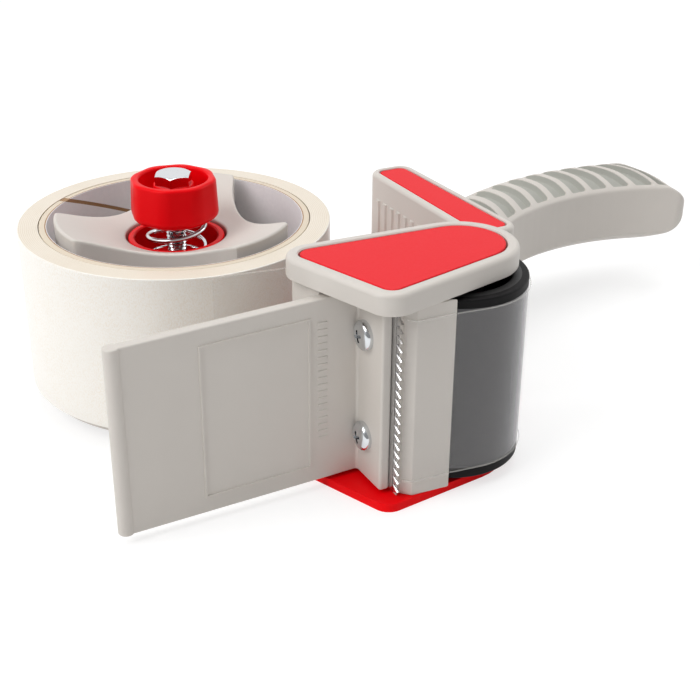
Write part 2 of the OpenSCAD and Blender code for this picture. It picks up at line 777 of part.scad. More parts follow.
// Centre line of the spring: straight ends, then a helix with 8 rings a turn
rings_a_turn = 8;
coil_r = (spring_d - wire_d) / 2;
coil_z = spring_z + wire_d;
coil_rise = spring_top - spring_z - 2 * wire_d;
coil_n = ceil(turns * rings_a_turn);
function coil_point(i) =
    let (a = 360 * turns * i / coil_n) [coil_r * cos(a), coil_r * sin(a), coil_z + coil_rise * i / coil_n];
coil = [for (i = [0:coil_n]) coil_point(i)];
coil_gap = min([for (i = [0:coil_n]) for (j = [0:coil_n])
    if (j - i >= rings_a_turn / 2) norm(coil[i] - coil[j])]) - wire_d;
echo(spring_gap_to_itself = coil_gap);

module brake_spring() {
    sides = 6;
    climb = atan2(coil_rise / coil_n, 2 * coil_r * sin(180 * turns / coil_n));
    mitre = (90 - climb) / 2;
    path = concat([coil[0] - [0, 0, wire_d]], coil, [coil[coil_n] + [0, 0, wire_d]]);
    last = len(path) - 1;
    // each ring leans by its tangent's rise above the level: upright at the ends, half-way at the bends
    rise = [for (i = [0:last]) i == 0 || i == last ? 90 : i == 1 || i == last - 1 ? climb + mitre : climb];
    wide = [for (i = [0:last]) i == 1 || i == last - 1 ? 1 / cos(mitre) : 1];
    points = [for (i = [0:last])
        let (a = 360 * turns * max(0, min(coil_n, i - 1)) / coil_n, out = [cos(a), sin(a), 0],
             up = [sin(rise[i]) * sin(a), -sin(rise[i]) * cos(a), cos(rise[i])])
            for (k = [0:sides - 1])
                path[i] + wire_d / 2 * (cos(60 * k) * out + wide[i] * sin(60 * k) * up)];
    faces = concat([[for (k = [0:sides - 1]) k]],
        [for (i = [0:last - 1]) for (k = [0:sides - 1])
            each let (n = (k + 1) % sides, b = i * sides, t = b + sides)
                [[b + n, b + k, t + k], [b + n, t + k, t + n]]],
        [[for (k = [sides - 1:-1:0]) last * sides + k]]);
    color(zinc) translate([roll_x, roll_y, 0]) polyhedron(points, faces);
}

// Eight-sided knob with a deep top recess, a hexagon pocket for the screw head and a spring pocket below
module brake_knob() {
    facets = 8;
    first = 10;
    soft = 5;
    reach = knob_d / 2;
    corner = reach - soft;
    low_edge = 2.2;
    top_edge = 0.8;
    taper = 0.4;
    over = 0.1;
    ring = [for (k = [0:facets - 1]) let (a = 360 * k / facets + first)
        [corner * cos(a), corner * sin(a), soft]];
    inner = reach - knob_wall - top_edge;
    color(red) translate([roll_x, roll_y, 0]) difference() {
        intersection() {
            plate(ring, knob_z, knob_top);
            rotate_extrude($fn = 96)
                polygon([[0, knob_z], [reach - low_edge, knob_z], [reach + over, knob_z + low_edge],
                    [reach - taper, knob_top - top_edge], [reach - taper - top_edge, knob_top],
                    [0, knob_top]]);
        }
        difference() {
            translate([0, 0, knob_z + knob_pocket + knob_web]) cylinder(r = inner, h = knob_h);
            cylinder(r = post_knob_r, h = head_z + post_over);
        }
        translate([0, 0, head_z]) cylinder(r = bolt_flats / 2 / cos(30) + tap_fit, h = knob_h, $fn = 6);
        translate([0, 0, knob_z - eps]) cylinder(r = spring_d / 2 + 1.3, h = knob_pocket + eps);
        translate([0, 0, knob_z]) cylinder(r = bolt_d / 2 + tap_fit, h = knob_h);
    }
}

module spindle_bolt() {
    color(zinc) translate([roll_x, roll_y, 0]) {
        translate([0, 0, bolt_tip]) cylinder(r = bolt_d / 2, h = head_z - bolt_tip + eps);
        intersection() {
            translate([0, 0, head_z]) cylinder(r = bolt_flats / 2 / cos(30), h = head_h, $fn = 6);
            translate([0, 0, head_z])
                cylinder(r1 = bolt_flats / 2 + 4, r2 = bolt_flats / 2 - 0.1, h = head_h);
        }
    }
}

base_plate();
head_block();
head_cover();
cover_inlay();
cover_screws();
wiper_plate();
wiper_screws();
cutting_blade();
grip();
neck_inlay();
frame_screws();
roller_axle();
tape_strip();
brake_cup();
spindle_insert();
roller_sleeve();
roller_drum();
roller_bushes();
hub();
hub_flange();
tape_core();
tape_wound();
thrust_washer();
brake_spring();
brake_knob();
spindle_bolt();
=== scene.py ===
"""Hand-held packing tape dispenser lying on its side plate, dressed for a plain studio."""

import logging
import math
from collections.abc import Callable
from dataclasses import dataclass, field
from enum import Enum

import bmesh
import bpy
from mathutils import Matrix, Vector


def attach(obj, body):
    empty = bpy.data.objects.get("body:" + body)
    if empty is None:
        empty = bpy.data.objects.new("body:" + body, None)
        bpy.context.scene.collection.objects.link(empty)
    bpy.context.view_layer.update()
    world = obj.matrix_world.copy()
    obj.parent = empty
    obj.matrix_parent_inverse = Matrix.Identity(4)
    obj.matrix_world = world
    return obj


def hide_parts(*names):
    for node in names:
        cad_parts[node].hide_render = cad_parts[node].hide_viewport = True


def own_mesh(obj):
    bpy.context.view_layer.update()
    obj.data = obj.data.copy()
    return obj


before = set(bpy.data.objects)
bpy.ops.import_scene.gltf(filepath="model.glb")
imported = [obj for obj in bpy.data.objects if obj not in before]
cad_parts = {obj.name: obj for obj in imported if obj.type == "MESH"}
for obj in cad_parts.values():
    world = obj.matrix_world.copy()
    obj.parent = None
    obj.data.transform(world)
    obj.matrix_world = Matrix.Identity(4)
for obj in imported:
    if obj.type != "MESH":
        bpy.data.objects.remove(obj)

log = logging.getLogger("tape_dispenser")

MM = 0.001
IMAGE_WIDTH = 700
SENSOR = 36.0
CREASE = math.radians(33)
WELD = 0.002
HAIR = 0.02
MITRE_LEAST = 0.3
WAVE_RATE = 20
COIL_POINTS = 40
WIRE_SIDES = 16
SCREW_STEPS = 48
RECESS_TAPER = (0.55, 0.8)
WHITE = (1.0, 1.0, 1.0, 1.0)

ROLL_AXIS = (-50.5, 76.5)
ROLL_RADIUS = 46.5
CORE_BORE = 38.0
TAPE_Z = (7.0, 55.0)
ROLLER_RADIUS = 20.0

Point = tuple[float, float]
Point3 = tuple[float, float, float]
Circle = tuple[float, float, float]
Profile = Callable[[float], list[Point]]


class Body(Enum):
    """Bodies that a piece can ride on."""

    FRAME = "frame"
    ROLLER = "roller"
    ROLL = "roll"
    SLIDER = "brake_slider"
    KNOB = "knob"


class Slot(Enum):
    """Material slots, by name."""

    GREY = "grey_plastic"
    RED = "red_plastic"
    INLAY = "red_inlay"
    RUBBER = "black_rubber"
    ZINC = "zinc_steel"
    BLADE = "blade_steel"
    FILM = "clear_film"
    WOUND = "wound_film"
    BOARD = "cardboard"


class Ends(Enum):
    """What closes a loft of rings."""

    CAPPED = "a face on the first and the last ring"
    LOOPED = "the last ring joined to the first"


# Colour and nodes


def linear(colour: str) -> tuple[float, float, float, float]:
    """Turns an sRGB hex colour into linear light.

    Args:
        colour: Six hex digits after a hash sign.

    Returns:
        Red, green, blue and an alpha of one.
    """
    parts = [int(colour[i:i + 2], 16) / 255 for i in (1, 3, 5)]
    light = [p / 12.92 if p <= 0.04045 else ((p + 0.055) / 1.055) ** 2.4 for p in parts]
    return light[0], light[1], light[2], 1.0


def add_node(
    tree: bpy.types.NodeTree,
    kind: str,
    settings: dict | None = None,
    links: dict | None = None,
) -> bpy.types.Node:
    """Adds a node with its settings and links.

    Args:
        tree: Tree that gets the node.
        kind: Blender's name of the node type.
        settings: Values by input name or number, or by attribute name.
        links: Sockets to link, by input name or number.

    Returns:
        The new node.
    """
    node = tree.nodes.new(kind)
    for name, value in (settings or {}).items():
        if isinstance(name, int) or name in node.inputs:
            node.inputs[name].default_value = value
        else:
            setattr(node, name, value)
    for name, socket in (links or {}).items():
        tree.links.new(socket, node.inputs[name])
    return node


def new_material(name: str) -> tuple[bpy.types.Material, bpy.types.NodeTree, bpy.types.Node]:
    """Starts a material that holds one Principled shader.

    Args:
        name: Name of the real material.

    Returns:
        The material, its tree and the shader.
    """
    material = bpy.data.materials.new(name)
    material.use_nodes = True
    tree = material.node_tree
    tree.nodes.clear()
    shader = add_node(tree, "ShaderNodeBsdfPrincipled")
    add_node(tree, "ShaderNodeOutputMaterial", links={"Surface": shader.outputs["BSDF"]})
    return material, tree, shader


def per_metre(size: float) -> float:
    """Noise scale that gives features of that size in millimetres."""
    return 1 / (size * MM)


def ring_scale(pitch: float) -> float:
    """Wave scale that gives bands of that pitch in millimetres."""
    return math.tau / (WAVE_RATE * pitch * MM)


def distance_from_axis(tree: bpy.types.NodeTree, place: bpy.types.NodeSocket) -> bpy.types.NodeSocket:
    """Adds nodes that measure how far a place is from the upright axis.

    Args:
        tree: Tree that gets the nodes.
        place: Position relative to the axis.

    Returns:
        The distance's socket.
    """
    level = add_node(
        tree,
        "ShaderNodeVectorMath",
        {"operation": "MULTIPLY", 1: (1.0, 1.0, 0.0)},
        {0: place},
    )
    reach = add_node(tree, "ShaderNodeVectorMath", {"operation": "LENGTH"}, {0: level.outputs["Vector"]})
    return reach.outputs["Value"]


# Finishes


@dataclass(frozen=True)
class Plastic:
    """Injection-moulded plastic with an eroded grain.

    The grain breaks the highlight into a soft sheen, and the tone drifts a little with the flow of the melt.
    """

    name: str
    colour: str
    drift: str
    roughness: float
    grain: float
    relief: float
    drift_size: float = 30.0
    specular: float = 0.5
    coat: float = 0.0
    coat_roughness: float = 0.08
    sheen: float = 0.0
    sheen_roughness: float = 0.4
    sheen_tint: str = "#EFE9F2"
    spread: float = 0.06
    depth: float = 0.05
    ior: float = 1.52

    def material(self) -> bpy.types.Material:
        """Builds the material."""
        material, tree, shader = new_material(self.name)
        place = add_node(tree, "ShaderNodeTexCoord")
        flow = add_node(
            tree,
            "ShaderNodeTexNoise",
            {"Scale": per_metre(self.drift_size), "Detail": 3.0, "Roughness": 0.6},
            {"Vector": place.outputs["Object"]},
        )
        tone = add_node(
            tree,
            "ShaderNodeMix",
            {"data_type": "RGBA", 6: linear(self.colour), 7: linear(self.drift)},
            {0: flow.outputs["Fac"]},
        )
        grain = add_node(
            tree,
            "ShaderNodeTexNoise",
            {"Scale": per_metre(self.grain), "Detail": 2.0},
            {"Vector": place.outputs["Object"]},
        )
        sheen = add_node(
            tree,
            "ShaderNodeMapRange",
            {"To Min": self.roughness - self.spread, "To Max": self.roughness + self.spread},
            {"Value": grain.outputs["Fac"]},
        )
        bump = add_node(
            tree,
            "ShaderNodeBump",
            {"Strength": self.relief, "Distance": self.depth * MM},
            {"Height": grain.outputs["Fac"]},
        )
        tree.links.new(tone.outputs[2], shader.inputs["Base Color"])
        tree.links.new(sheen.outputs["Result"], shader.inputs["Roughness"])
        tree.links.new(bump.outputs["Normal"], shader.inputs["Normal"])
        shader.inputs["IOR"].default_value = self.ior
        shader.inputs["Specular IOR Level"].default_value = self.specular
        shader.inputs["Coat Weight"].default_value = self.coat
        shader.inputs["Coat Roughness"].default_value = self.coat_roughness
        shader.inputs["Sheen Weight"].default_value = self.sheen
        shader.inputs["Sheen Roughness"].default_value = self.sheen_roughness
        shader.inputs["Sheen Tint"].default_value = linear(self.sheen_tint)
        return material


@dataclass(frozen=True)
class Metal:
    """Plated or drawn metal, with fine lines along one axis that stretch its reflections."""

    name: str
    colour: str
    roughness: float
    line: float
    stretch: Point3
    relief: float
    depth: float = 0.02
    polish: Point = (0.6, 1.5)

    def material(self) -> bpy.types.Material:
        """Builds the material."""
        material, tree, shader = new_material(self.name)
        place = add_node(tree, "ShaderNodeTexCoord")
        drawn = add_node(
            tree,
            "ShaderNodeMapping",
            {"Scale": self.stretch},
            {"Vector": place.outputs["Object"]},
        )
        lines = add_node(
            tree,
            "ShaderNodeTexNoise",
            {"Scale": per_metre(self.line), "Detail": 3.0},
            {"Vector": drawn.outputs["Vector"]},
        )
        polish = add_node(
            tree,
            "ShaderNodeMapRange",
            {"To Min": self.roughness * self.polish[0], "To Max": self.roughness * self.polish[1]},
            {"Value": lines.outputs["Fac"]},
        )
        bump = add_node(
            tree,
            "ShaderNodeBump",
            {"Strength": self.relief, "Distance": self.depth * MM},
            {"Height": lines.outputs["Fac"]},
        )
        shader.inputs["Base Color"].default_value = linear(self.colour)
        shader.inputs["Metallic"].default_value = 1.0
        tree.links.new(polish.outputs["Result"], shader.inputs["Roughness"])
        tree.links.new(bump.outputs["Normal"], shader.inputs["Normal"])
        return material


@dataclass(frozen=True)
class ClearFilm:
    """Clear polypropylene tape, a thin film that lays a pale haze over what is behind it."""

    name: str
    colour: str
    haze: float
    roughness: float
    ripple: float
    relief: float = 0.15
    depth: float = 0.1
    ior: float = 1.49

    def material(self) -> bpy.types.Material:
        """Builds the material."""
        material, tree, shader = new_material(self.name)
        place = add_node(tree, "ShaderNodeTexCoord")
        ripple = add_node(
            tree,
            "ShaderNodeTexNoise",
            {"Scale": per_metre(self.ripple), "Detail": 2.0},
            {"Vector": place.outputs["Object"]},
        )
        bump = add_node(
            tree,
            "ShaderNodeBump",
            {"Strength": self.relief, "Distance": self.depth * MM},
            {"Height": ripple.outputs["Fac"]},
        )
        shader.inputs["Base Color"].default_value = linear(self.colour)
        shader.inputs["Alpha"].default_value = self.haze
        shader.inputs["Roughness"].default_value = self.roughness
        shader.inputs["IOR"].default_value = self.ior
        tree.links.new(bump.outputs["Normal"], shader.inputs["Normal"])
        return material


@dataclass(frozen=True)
class WoundFilm:
    """Wound tape: glossy on its outer turn, with the turns' edges as fine rings on its ends."""

    name: str
    colour: str
    end: str
    edge: str
    axis: Point
    radius: float
    turn: float
    streak: float
    bubbles: str
    bubble: float
    specks: Point = (0.42, 0.68)
    speck_stretch: float = 0.6
    skin: float = 0.3
    relief: float = 0.2
    depth: float = 0.05
    roughness: float = 0.32
    ior: float = 1.49
    coat: float = 0.25
    coat_roughness: float = 0.1

    def material(self) -> bpy.types.Material:
        """Builds the material."""
        material, tree, shader = new_material(self.name)
        place = add_node(tree, "ShaderNodeTexCoord")
        centred = add_node(
            tree,
            "ShaderNodeMapping",
            {"Location": (-self.axis[0] * MM, -self.axis[1] * MM, 0.0)},
            {"Vector": place.outputs["Object"]},
        )
        # The turns are 0.05 mm thick, too fine to show, so a ring stands for about ten of them
        rings = add_node(
            tree,
            "ShaderNodeTexWave",
            {
                "wave_type": "RINGS",
                "rings_direction": "Z",
                "Scale": ring_scale(self.turn),
                "Distortion": 1.5,
                "Detail": 2.0,
                "Detail Scale": 2.0,
            },
            {"Vector": centred.outputs["Vector"]},
        )
        streaks = add_node(
            tree,
            "ShaderNodeTexNoise",
            {"Scale": per_metre(self.streak), "Detail": 4.0, "Roughness": 0.65},
            {"Vector": centred.outputs["Vector"]},
        )
        mix = add_node(
            tree,
            "ShaderNodeMath",
            {"operation": "MULTIPLY"},
            {0: rings.outputs["Fac"], 1: streaks.outputs["Fac"]},
        )
        end = add_node(
            tree,
            "ShaderNodeMix",
            {"data_type": "RGBA", 6: linear(self.end), 7: linear(self.edge)},
            {0: mix.outputs["Value"]},
        )
        outside = add_node(
            tree,
            "ShaderNodeMath",
            {"operation": "GREATER_THAN", 1: (self.radius - self.skin) * MM},
            {0: distance_from_axis(tree, centred.outputs["Vector"])},
        )
        tone = add_node(
            tree,
            "ShaderNodeMix",
            {"data_type": "RGBA", 7: linear(self.colour)},
            {0: outside.outputs["Value"], 6: end.outputs[2]},
        )
        # Air between the turns shows as warm specks drawn out along the roll's axis
        drawn = add_node(
            tree,
            "ShaderNodeMapping",
            {"Scale": (1.0, 1.0, self.speck_stretch)},
            {"Vector": centred.outputs["Vector"]},
        )
        air = add_node(
            tree,
            "ShaderNodeTexNoise",
            {"Scale": per_metre(self.bubble), "Detail": 2.0},
            {"Vector": drawn.outputs["Vector"]},
        )
        specks = add_node(
            tree,
            "ShaderNodeMapRange",
            {"From Min": self.specks[0], "From Max": self.specks[1]},
            {"Value": air.outputs["Fac"]},
        )
        trapped = add_node(
            tree,
            "ShaderNodeMath",
            {"operation": "MULTIPLY"},
            {0: specks.outputs["Result"], 1: streaks.outputs["Fac"]},
        )
        mottled = add_node(
            tree,
            "ShaderNodeMix",
            {"data_type": "RGBA", 7: linear(self.bubbles)},
            {0: trapped.outputs["Value"], 6: tone.outputs[2]},
        )
        bump = add_node(
            tree,
            "ShaderNodeBump",
            {"Strength": self.relief, "Distance": self.depth * MM},
            {"Height": rings.outputs["Fac"]},
        )
        tree.links.new(mottled.outputs[2], shader.inputs["Base Color"])
        tree.links.new(bump.outputs["Normal"], shader.inputs["Normal"])
        shader.inputs["Roughness"].default_value = self.roughness
        shader.inputs["IOR"].default_value = self.ior
        shader.inputs["Coat Weight"].default_value = self.coat
        shader.inputs["Coat Roughness"].default_value = self.coat_roughness
        return material


@dataclass(frozen=True)
class PaperTube:
    """Spirally wound card tube faced with white paper: its butt seam and its cut edge show brown card."""

    name: str
    paper: str
    shade: str
    card: str
    seam: str
    axis: Point
    bore: float
    pitch: float
    phase: float
    seam_width: float
    ply: float
    fibre: float = 1.2
    relief: float = 0.2
    depth: float = 0.05
    roughness: float = 0.6
    ior: float = 1.5

    def material(self) -> bpy.types.Material:
        """Builds the material."""
        material, tree, shader = new_material(self.name)
        place = add_node(tree, "ShaderNodeTexCoord")
        centred = add_node(
            tree,
            "ShaderNodeMapping",
            {"Location": (-self.axis[0] * MM, -self.axis[1] * MM, 0.0)},
            {"Vector": place.outputs["Object"]},
        )
        split = add_node(tree, "ShaderNodeSeparateXYZ", links={"Vector": centred.outputs["Vector"]})
        angle = add_node(
            tree,
            "ShaderNodeMath",
            {"operation": "ARCTAN2"},
            {0: split.outputs["Y"], 1: split.outputs["X"]},
        )
        around = add_node(
            tree,
            "ShaderNodeMath",
            {"operation": "MULTIPLY_ADD", 1: -1 / math.tau, 2: -self.phase},
            {0: angle.outputs["Value"]},
        )
        climb = add_node(
            tree,
            "ShaderNodeMath",
            {"operation": "MULTIPLY_ADD", 1: per_metre(self.pitch)},
            {0: split.outputs["Z"], 2: around.outputs["Value"]},
        )
        turn = add_node(tree, "ShaderNodeMath", {"operation": "FRACT"}, {0: climb.outputs["Value"]})
        on_seam = add_node(
            tree,
            "ShaderNodeMath",
            {"operation": "LESS_THAN", 1: self.seam_width / self.pitch},
            {0: turn.outputs["Value"]},
        )
        reach = distance_from_axis(tree, centred.outputs["Vector"])
        on_end = add_node(
            tree,
            "ShaderNodeMath",
            {"operation": "GREATER_THAN", 1: (self.bore + self.ply / 2) * MM},
            {0: reach},
        )
        on_edge = add_node(
            tree,
            "ShaderNodeMath",
            {"operation": "COMPARE", 1: (self.bore + self.ply) * MM, 2: self.ply / 2 * MM},
            {0: reach},
        )
        bare = add_node(
            tree,
            "ShaderNodeMath",
            {"operation": "MAXIMUM"},
            {0: on_seam.outputs["Value"], 1: on_edge.outputs["Value"]},
        )
        fibres = add_node(
            tree,
            "ShaderNodeTexNoise",
            {"Scale": per_metre(self.fibre), "Detail": 4.0},
            {"Vector": place.outputs["Object"]},
        )
        paper = add_node(
            tree,
            "ShaderNodeMix",
            {"data_type": "RGBA", 6: linear(self.paper), 7: linear(self.shade)},
            {0: fibres.outputs["Fac"]},
        )
        faced = add_node(
            tree,
            "ShaderNodeMix",
            {"data_type": "RGBA", 7: linear(self.card)},
            {0: on_end.outputs["Value"], 6: paper.outputs[2]},
        )
        tone = add_node(
            tree,
            "ShaderNodeMix",
            {"data_type": "RGBA", 7: linear(self.seam)},
            {0: bare.outputs["Value"], 6: faced.outputs[2]},
        )
        bump = add_node(
            tree,
            "ShaderNodeBump",
            {"Strength": self.relief, "Distance": self.depth * MM},
            {"Height": fibres.outputs["Fac"]},
        )
        tree.links.new(tone.outputs[2], shader.inputs["Base Color"])
        tree.links.new(bump.outputs["Normal"], shader.inputs["Normal"])
        shader.inputs["Roughness"].default_value = self.roughness
        shader.inputs["IOR"].default_value = self.ior
        return material


Finish = Plastic | Metal | ClearFilm | WoundFilm | PaperTube

# ABS with a satin grain: pale warm grey with a wide soft sheen
GREY_ABS = Plastic("satin_grey_abs", "#D6D0C9", "#CDC7C0", 0.46, 0.8, 0.10)
# ABS from a polished mould: saturated red with clear reflections
RED_ABS = Plastic("gloss_red_abs", "#F00410", "#E8040F", 0.32, 1.2, 0.03, specular=0.08)
# Side plate: a lighter copy of the gloss red with a duller face; the lighter red is painted light for the
# plate lying in the head's shade
PLATE_RED_PAINTED_LIGHT = Plastic("satin_red_abs_painted_light", "#FF0610", "#F9050F", 0.42, 1.2, 0.03, specular=0.08)
# Matt ABS inlay: a lighter coral red that stays even across its face
CORAL_ABS = Plastic("matt_coral_abs", "#E81E28", "#E41B25", 0.5, 0.7, 0.08, specular=0.2)
# Coarse grain in the grip's grooves, duller than the ribs between them; the darker tone is painted shade
# standing in for the grooves' depth
GROOVE_PAINTED_SHADE_ABS = Plastic("coarse_grey_abs_painted_groove_shade", "#B6B6AF", "#ACACA5", 0.6, 0.5, 0.25, specular=0.3)
# Rubber: black and matt on its ends, and glossy where the tape clings to it
RUBBER = Plastic("ground_black_rubber", "#141314", "#191819", 0.5, 1.0, 0.05, specular=0.1)
TRACK_RUBBER = Plastic("tape_polished_rubber", "#19171C", "#1F1D23", 0.22, 1.0, 0.03, coat=0.5, sheen=0.35)
# Polyamide drum and acetal bushes inside the roller
BLACK_PA = Plastic("black_polyamide", "#171717", "#1C1C1C", 0.5, 0.8, 0.08)
ACETAL = Plastic("natural_acetal", "#E6E1D5", "#DDD8CC", 0.4, 0.8, 0.05)
# Zinc-plated steel: bright and slightly blue, with a fine uneven polish
ZINC = Metal("bright_zinc_steel", "#DADDE0", 0.09, 0.6, (1.0, 1.0, 1.0), 0.03)
# Ground strip steel: fine lines across the teeth
STRIP_STEEL = Metal("ground_strip_steel", "#D6D6D7", 0.24, 0.4, (1.0, 1.0, 0.05), 0.06)
# Turned brass: warm yellow with fine rings
BRASS = Metal("turned_brass", "#C9A353", 0.3, 0.4, (1.0, 1.0, 6.0), 0.08)
# Tape: the strip is nearly clear but for its cut edges, the roll is cream in its thickness
FILM = ClearFilm("clear_polypropylene_film", "#F1EEEC", 0.045, 0.12, 9.0)
FILM_EDGE = ClearFilm("cut_edge_of_film", "#F7F4EE", 0.22, 0.3, 9.0)
WOUND = WoundFilm(
    "wound_polypropylene_tape",
    colour="#F7F4EE",
    end="#EBE2D3",
    edge="#CDBB9F",
    axis=ROLL_AXIS,
    radius=ROLL_RADIUS,
    turn=0.55,
    streak=14.0,
    bubbles="#EBE0CF",
    bubble=0.32,
)
PAPER = PaperTube(
    "white_paper_tube",
    paper="#F8F5F7",
    shade="#ECE9EC",
    card="#DDD0BC",
    seam="#9C7650",
    axis=ROLL_AXIS,
    bore=CORE_BORE,
    pitch=100.8,
    phase=0.179,
    seam_width=1.2,
    ply=0.35,
)


class Finishes:
    """Materials that are built once and shared."""

    def __init__(self) -> None:
        """Starts with an empty shelf."""
        self.built: dict[str, bpy.types.Material] = {}

    def get(self, finish: Finish) -> bpy.types.Material:
        """Returns a finish's material, built on first use."""
        if finish.name not in self.built:
            self.built[finish.name] = finish.material()
        return self.built[finish.name]


FINISHES = Finishes()


# Plane geometry, in millimetres


def arc(centre: Point, radius: float, start: float, end: float, steps: int) -> list[Point]:
    """Points on an arc.

    Args:
        centre: Middle of the arc.
        radius: Its radius.
        start: First angle in degrees.
        end: Last angle in degrees.
        steps: Number of chords.

    Returns:
        One more point than there are chords.
    """
    points = []
    for i in range(steps + 1):
        a = math.radians(start + (end - start) * i / steps)
        points.append((centre[0] + radius * math.cos(a), centre[1] + radius * math.sin(a)))
    return points


def belt(circles: list[Circle], grow: float = 0.0, step: float = 4.0) -> list[Point]:
    """Outline of a belt round circles given counter-clockwise.

    Args:
        circles: X, Y and radius of each circle.
        grow: Added to every radius.
        step: Largest turn of a chord in degrees.

    Returns:
        The outline, counter-clockwise.
    """

    def outward(p: Circle, q: Circle) -> float:
        """Direction of the outward normal of the tangent from p to q."""
        dx, dy = q[0] - p[0], q[1] - p[1]
        lean = math.acos((p[2] - q[2]) / math.hypot(dx, dy))
        return math.degrees(math.atan2(dy, dx) - lean)

    points: list[Point] = []
    count = len(circles)
    for i, (x, y, radius) in enumerate(circles):
        start = outward(circles[i - 1], circles[i])
        turn = (outward(circles[i], circles[(i + 1) % count]) - start) % 360
        points += arc((x, y), radius + grow, start, start + turn, max(3, math.ceil(turn / step)))
    return points


def fillet(before: Point, corner: Point, after: Point, radius: float, steps: int = 6) -> list[Point]:
    """Rounds a corner between its two neighbours.

    Args:
        before: Point before the corner.
        corner: The corner itself.
        after: Point after the corner.
        radius: Radius of the rounding.
        steps: Number of chords.

    Returns:
        The points of the rounding.
    """
    p = Vector(corner)
    u = (Vector(before) - p).normalized()
    v = (Vector(after) - p).normalized()
    half = u.angle(v) / 2
    middle = p + (u + v).normalized() * (radius / math.sin(half))
    first = p + u * (radius / math.tan(half)) - middle
    last = p + v * (radius / math.tan(half)) - middle
    start = math.degrees(math.atan2(first.y, first.x))
    turn = (math.degrees(math.atan2(last.y, last.x)) - start + 540) % 360 - 180
    return arc((middle.x, middle.y), radius, start, start + turn, steps)


def shrink(outline: list[Point], inset: float) -> list[Point]:
    """Moves a counter-clockwise outline inwards with mitred corners.

    Args:
        outline: The outline.
        inset: Distance, negative to grow it.

    Returns:
        The moved outline, point for point.
    """
    moved = []
    count = len(outline)
    for i, point in enumerate(outline):
        here = Vector(point)
        into = (here - Vector(outline[i - 1])).normalized()
        out = (Vector(outline[(i + 1) % count]) - here).normalized()
        a, b = Vector((-into.y, into.x)), Vector((-out.y, out.x))
        shift = (a + b) * (inset / max(MITRE_LEAST, 1 + a.dot(b)))
        moved.append((here.x + shift.x, here.y + shift.y))
    return moved


def rectangle(x: float, y: float) -> list[Point]:
    """Corners of a rectangle with those half sides, counter-clockwise."""
    return [(-x, -y), (x, -y), (x, y), (-x, y)]


def clamp(share: float) -> float:
    """Holds a share between zero and one."""
    return max(0.0, min(1.0, share))


def between(span: Point, share: float) -> float:
    """Value at a share of the way from the first to the last."""
    return span[0] + (span[1] - span[0]) * share


def ease(share: float) -> float:
    """Smooth step from zero to one."""
    share = clamp(share)
    return share * share * (3 - 2 * share)


def point_along(path: list[Point], share: float) -> Vector:
    """Point at a share of a path's length."""
    points = [Vector(p) for p in path]
    left = share * sum((q - p).length for p, q in zip(points, points[1:]))
    for p, q in zip(points, points[1:]):
        length = (q - p).length
        if left <= length and length > 0:
            return p.lerp(q, left / length)
        left -= length
    return points[-1]


def soft_top(z: float, radius: float, steps: int = 4) -> list[Point]:
    """Inset and height of a rounded upper edge, from the wall to the face."""
    angles = [math.pi / 2 * i / steps for i in range(steps + 1)]
    return [(radius * (1 - math.cos(a)), z - radius + radius * math.sin(a)) for a in angles]


def soft_bottom(z: float, radius: float, steps: int = 4) -> list[Point]:
    """Inset and height of a rounded lower edge, from the face to the wall."""
    return [(inset, 2 * z - height) for inset, height in reversed(soft_top(z, radius, steps))]


# Meshes


class Shell:
    """Vertices in millimetres and faces of one or more closed shells."""

    def __init__(self) -> None:
        """Starts without any geometry."""
        self.points: list[Point3] = []
        self.faces: list[list[int]] = []

    def loft(self, rings: list[list[Point3]], ends: Ends = Ends.CAPPED) -> None:
        """Adds a shell through rings with equal numbers of points.

        Args:
            rings: The rings in order.
            ends: How the shell is closed.
        """
        base = len(self.points)
        count = len(rings[0])
        for ring in rings:
            self.points += ring
        last = len(rings) if ends is Ends.LOOPED else len(rings) - 1
        for k in range(last):
            low = base + k * count
            high = base + (k + 1) % len(rings) * count
            for i in range(count):
                j = (i + 1) % count
                self.faces.append([low + i, low + j, high + j, high + i])
        if ends is Ends.CAPPED:
            self.faces.append([base + i for i in reversed(range(count))])
            top = base + (len(rings) - 1) * count
            self.faces.append([top + i for i in range(count)])

    def stack(self, outline: list[Point], levels: list[Point], ends: Ends = Ends.CAPPED) -> None:
        """Adds a loft of one outline at several insets and heights.

        Args:
            outline: The outline, counter-clockwise.
            levels: Inset and height of each ring.
            ends: How the shell is closed.
        """
        rings = [[(x, y, z) for x, y in shrink(outline, inset)] for inset, z in levels]
        self.loft(rings, ends)

    def turned(
        self,
        centre: Point,
        profile: Profile,
        steps: int,
        ends: Ends = Ends.LOOPED,
    ) -> None:
        """Adds a turned shell whose profile may change with the angle.

        Args:
            centre: Its axis.
            profile: Gives the radius and height of each point at an angle in radians.
            steps: Number of angles in a full turn.
            ends: How the profile is closed.
        """
        angles = [math.tau * i / steps for i in range(steps)]
        profiles = [profile(a) for a in angles]
        rings = []
        for k in range(len(profiles[0])):
            ring = []
            for a, section in zip(angles, profiles):
                radius, z = section[k]
                ring.append((centre[0] + radius * math.cos(a), centre[1] + radius * math.sin(a), z))
            rings.append(ring)
        self.loft(rings, ends)

    def mesh(self, name: str, matrix: Matrix | None = None) -> bpy.types.Mesh:
        """Makes the mesh in metres, with faces outwards and soft shading.

        Args:
            name: Name of the mesh.
            matrix: Turn and place in millimetres, if it has any.

        Returns:
            The mesh.
        """
        mesh = bpy.data.meshes.new(name)
        mesh.from_pydata([Vector(p) for p in self.points], [], self.faces)
        work = bmesh.new()
        work.from_mesh(mesh)
        bmesh.ops.transform(work, matrix=Matrix.Scale(MM, 4) @ (matrix or Matrix()), verts=work.verts)
        bmesh.ops.remove_doubles(work, verts=work.verts, dist=WELD * MM)
        bmesh.ops.recalc_face_normals(work, faces=work.faces)
        work.to_mesh(mesh)
        work.free()
        smooth(mesh)
        return mesh


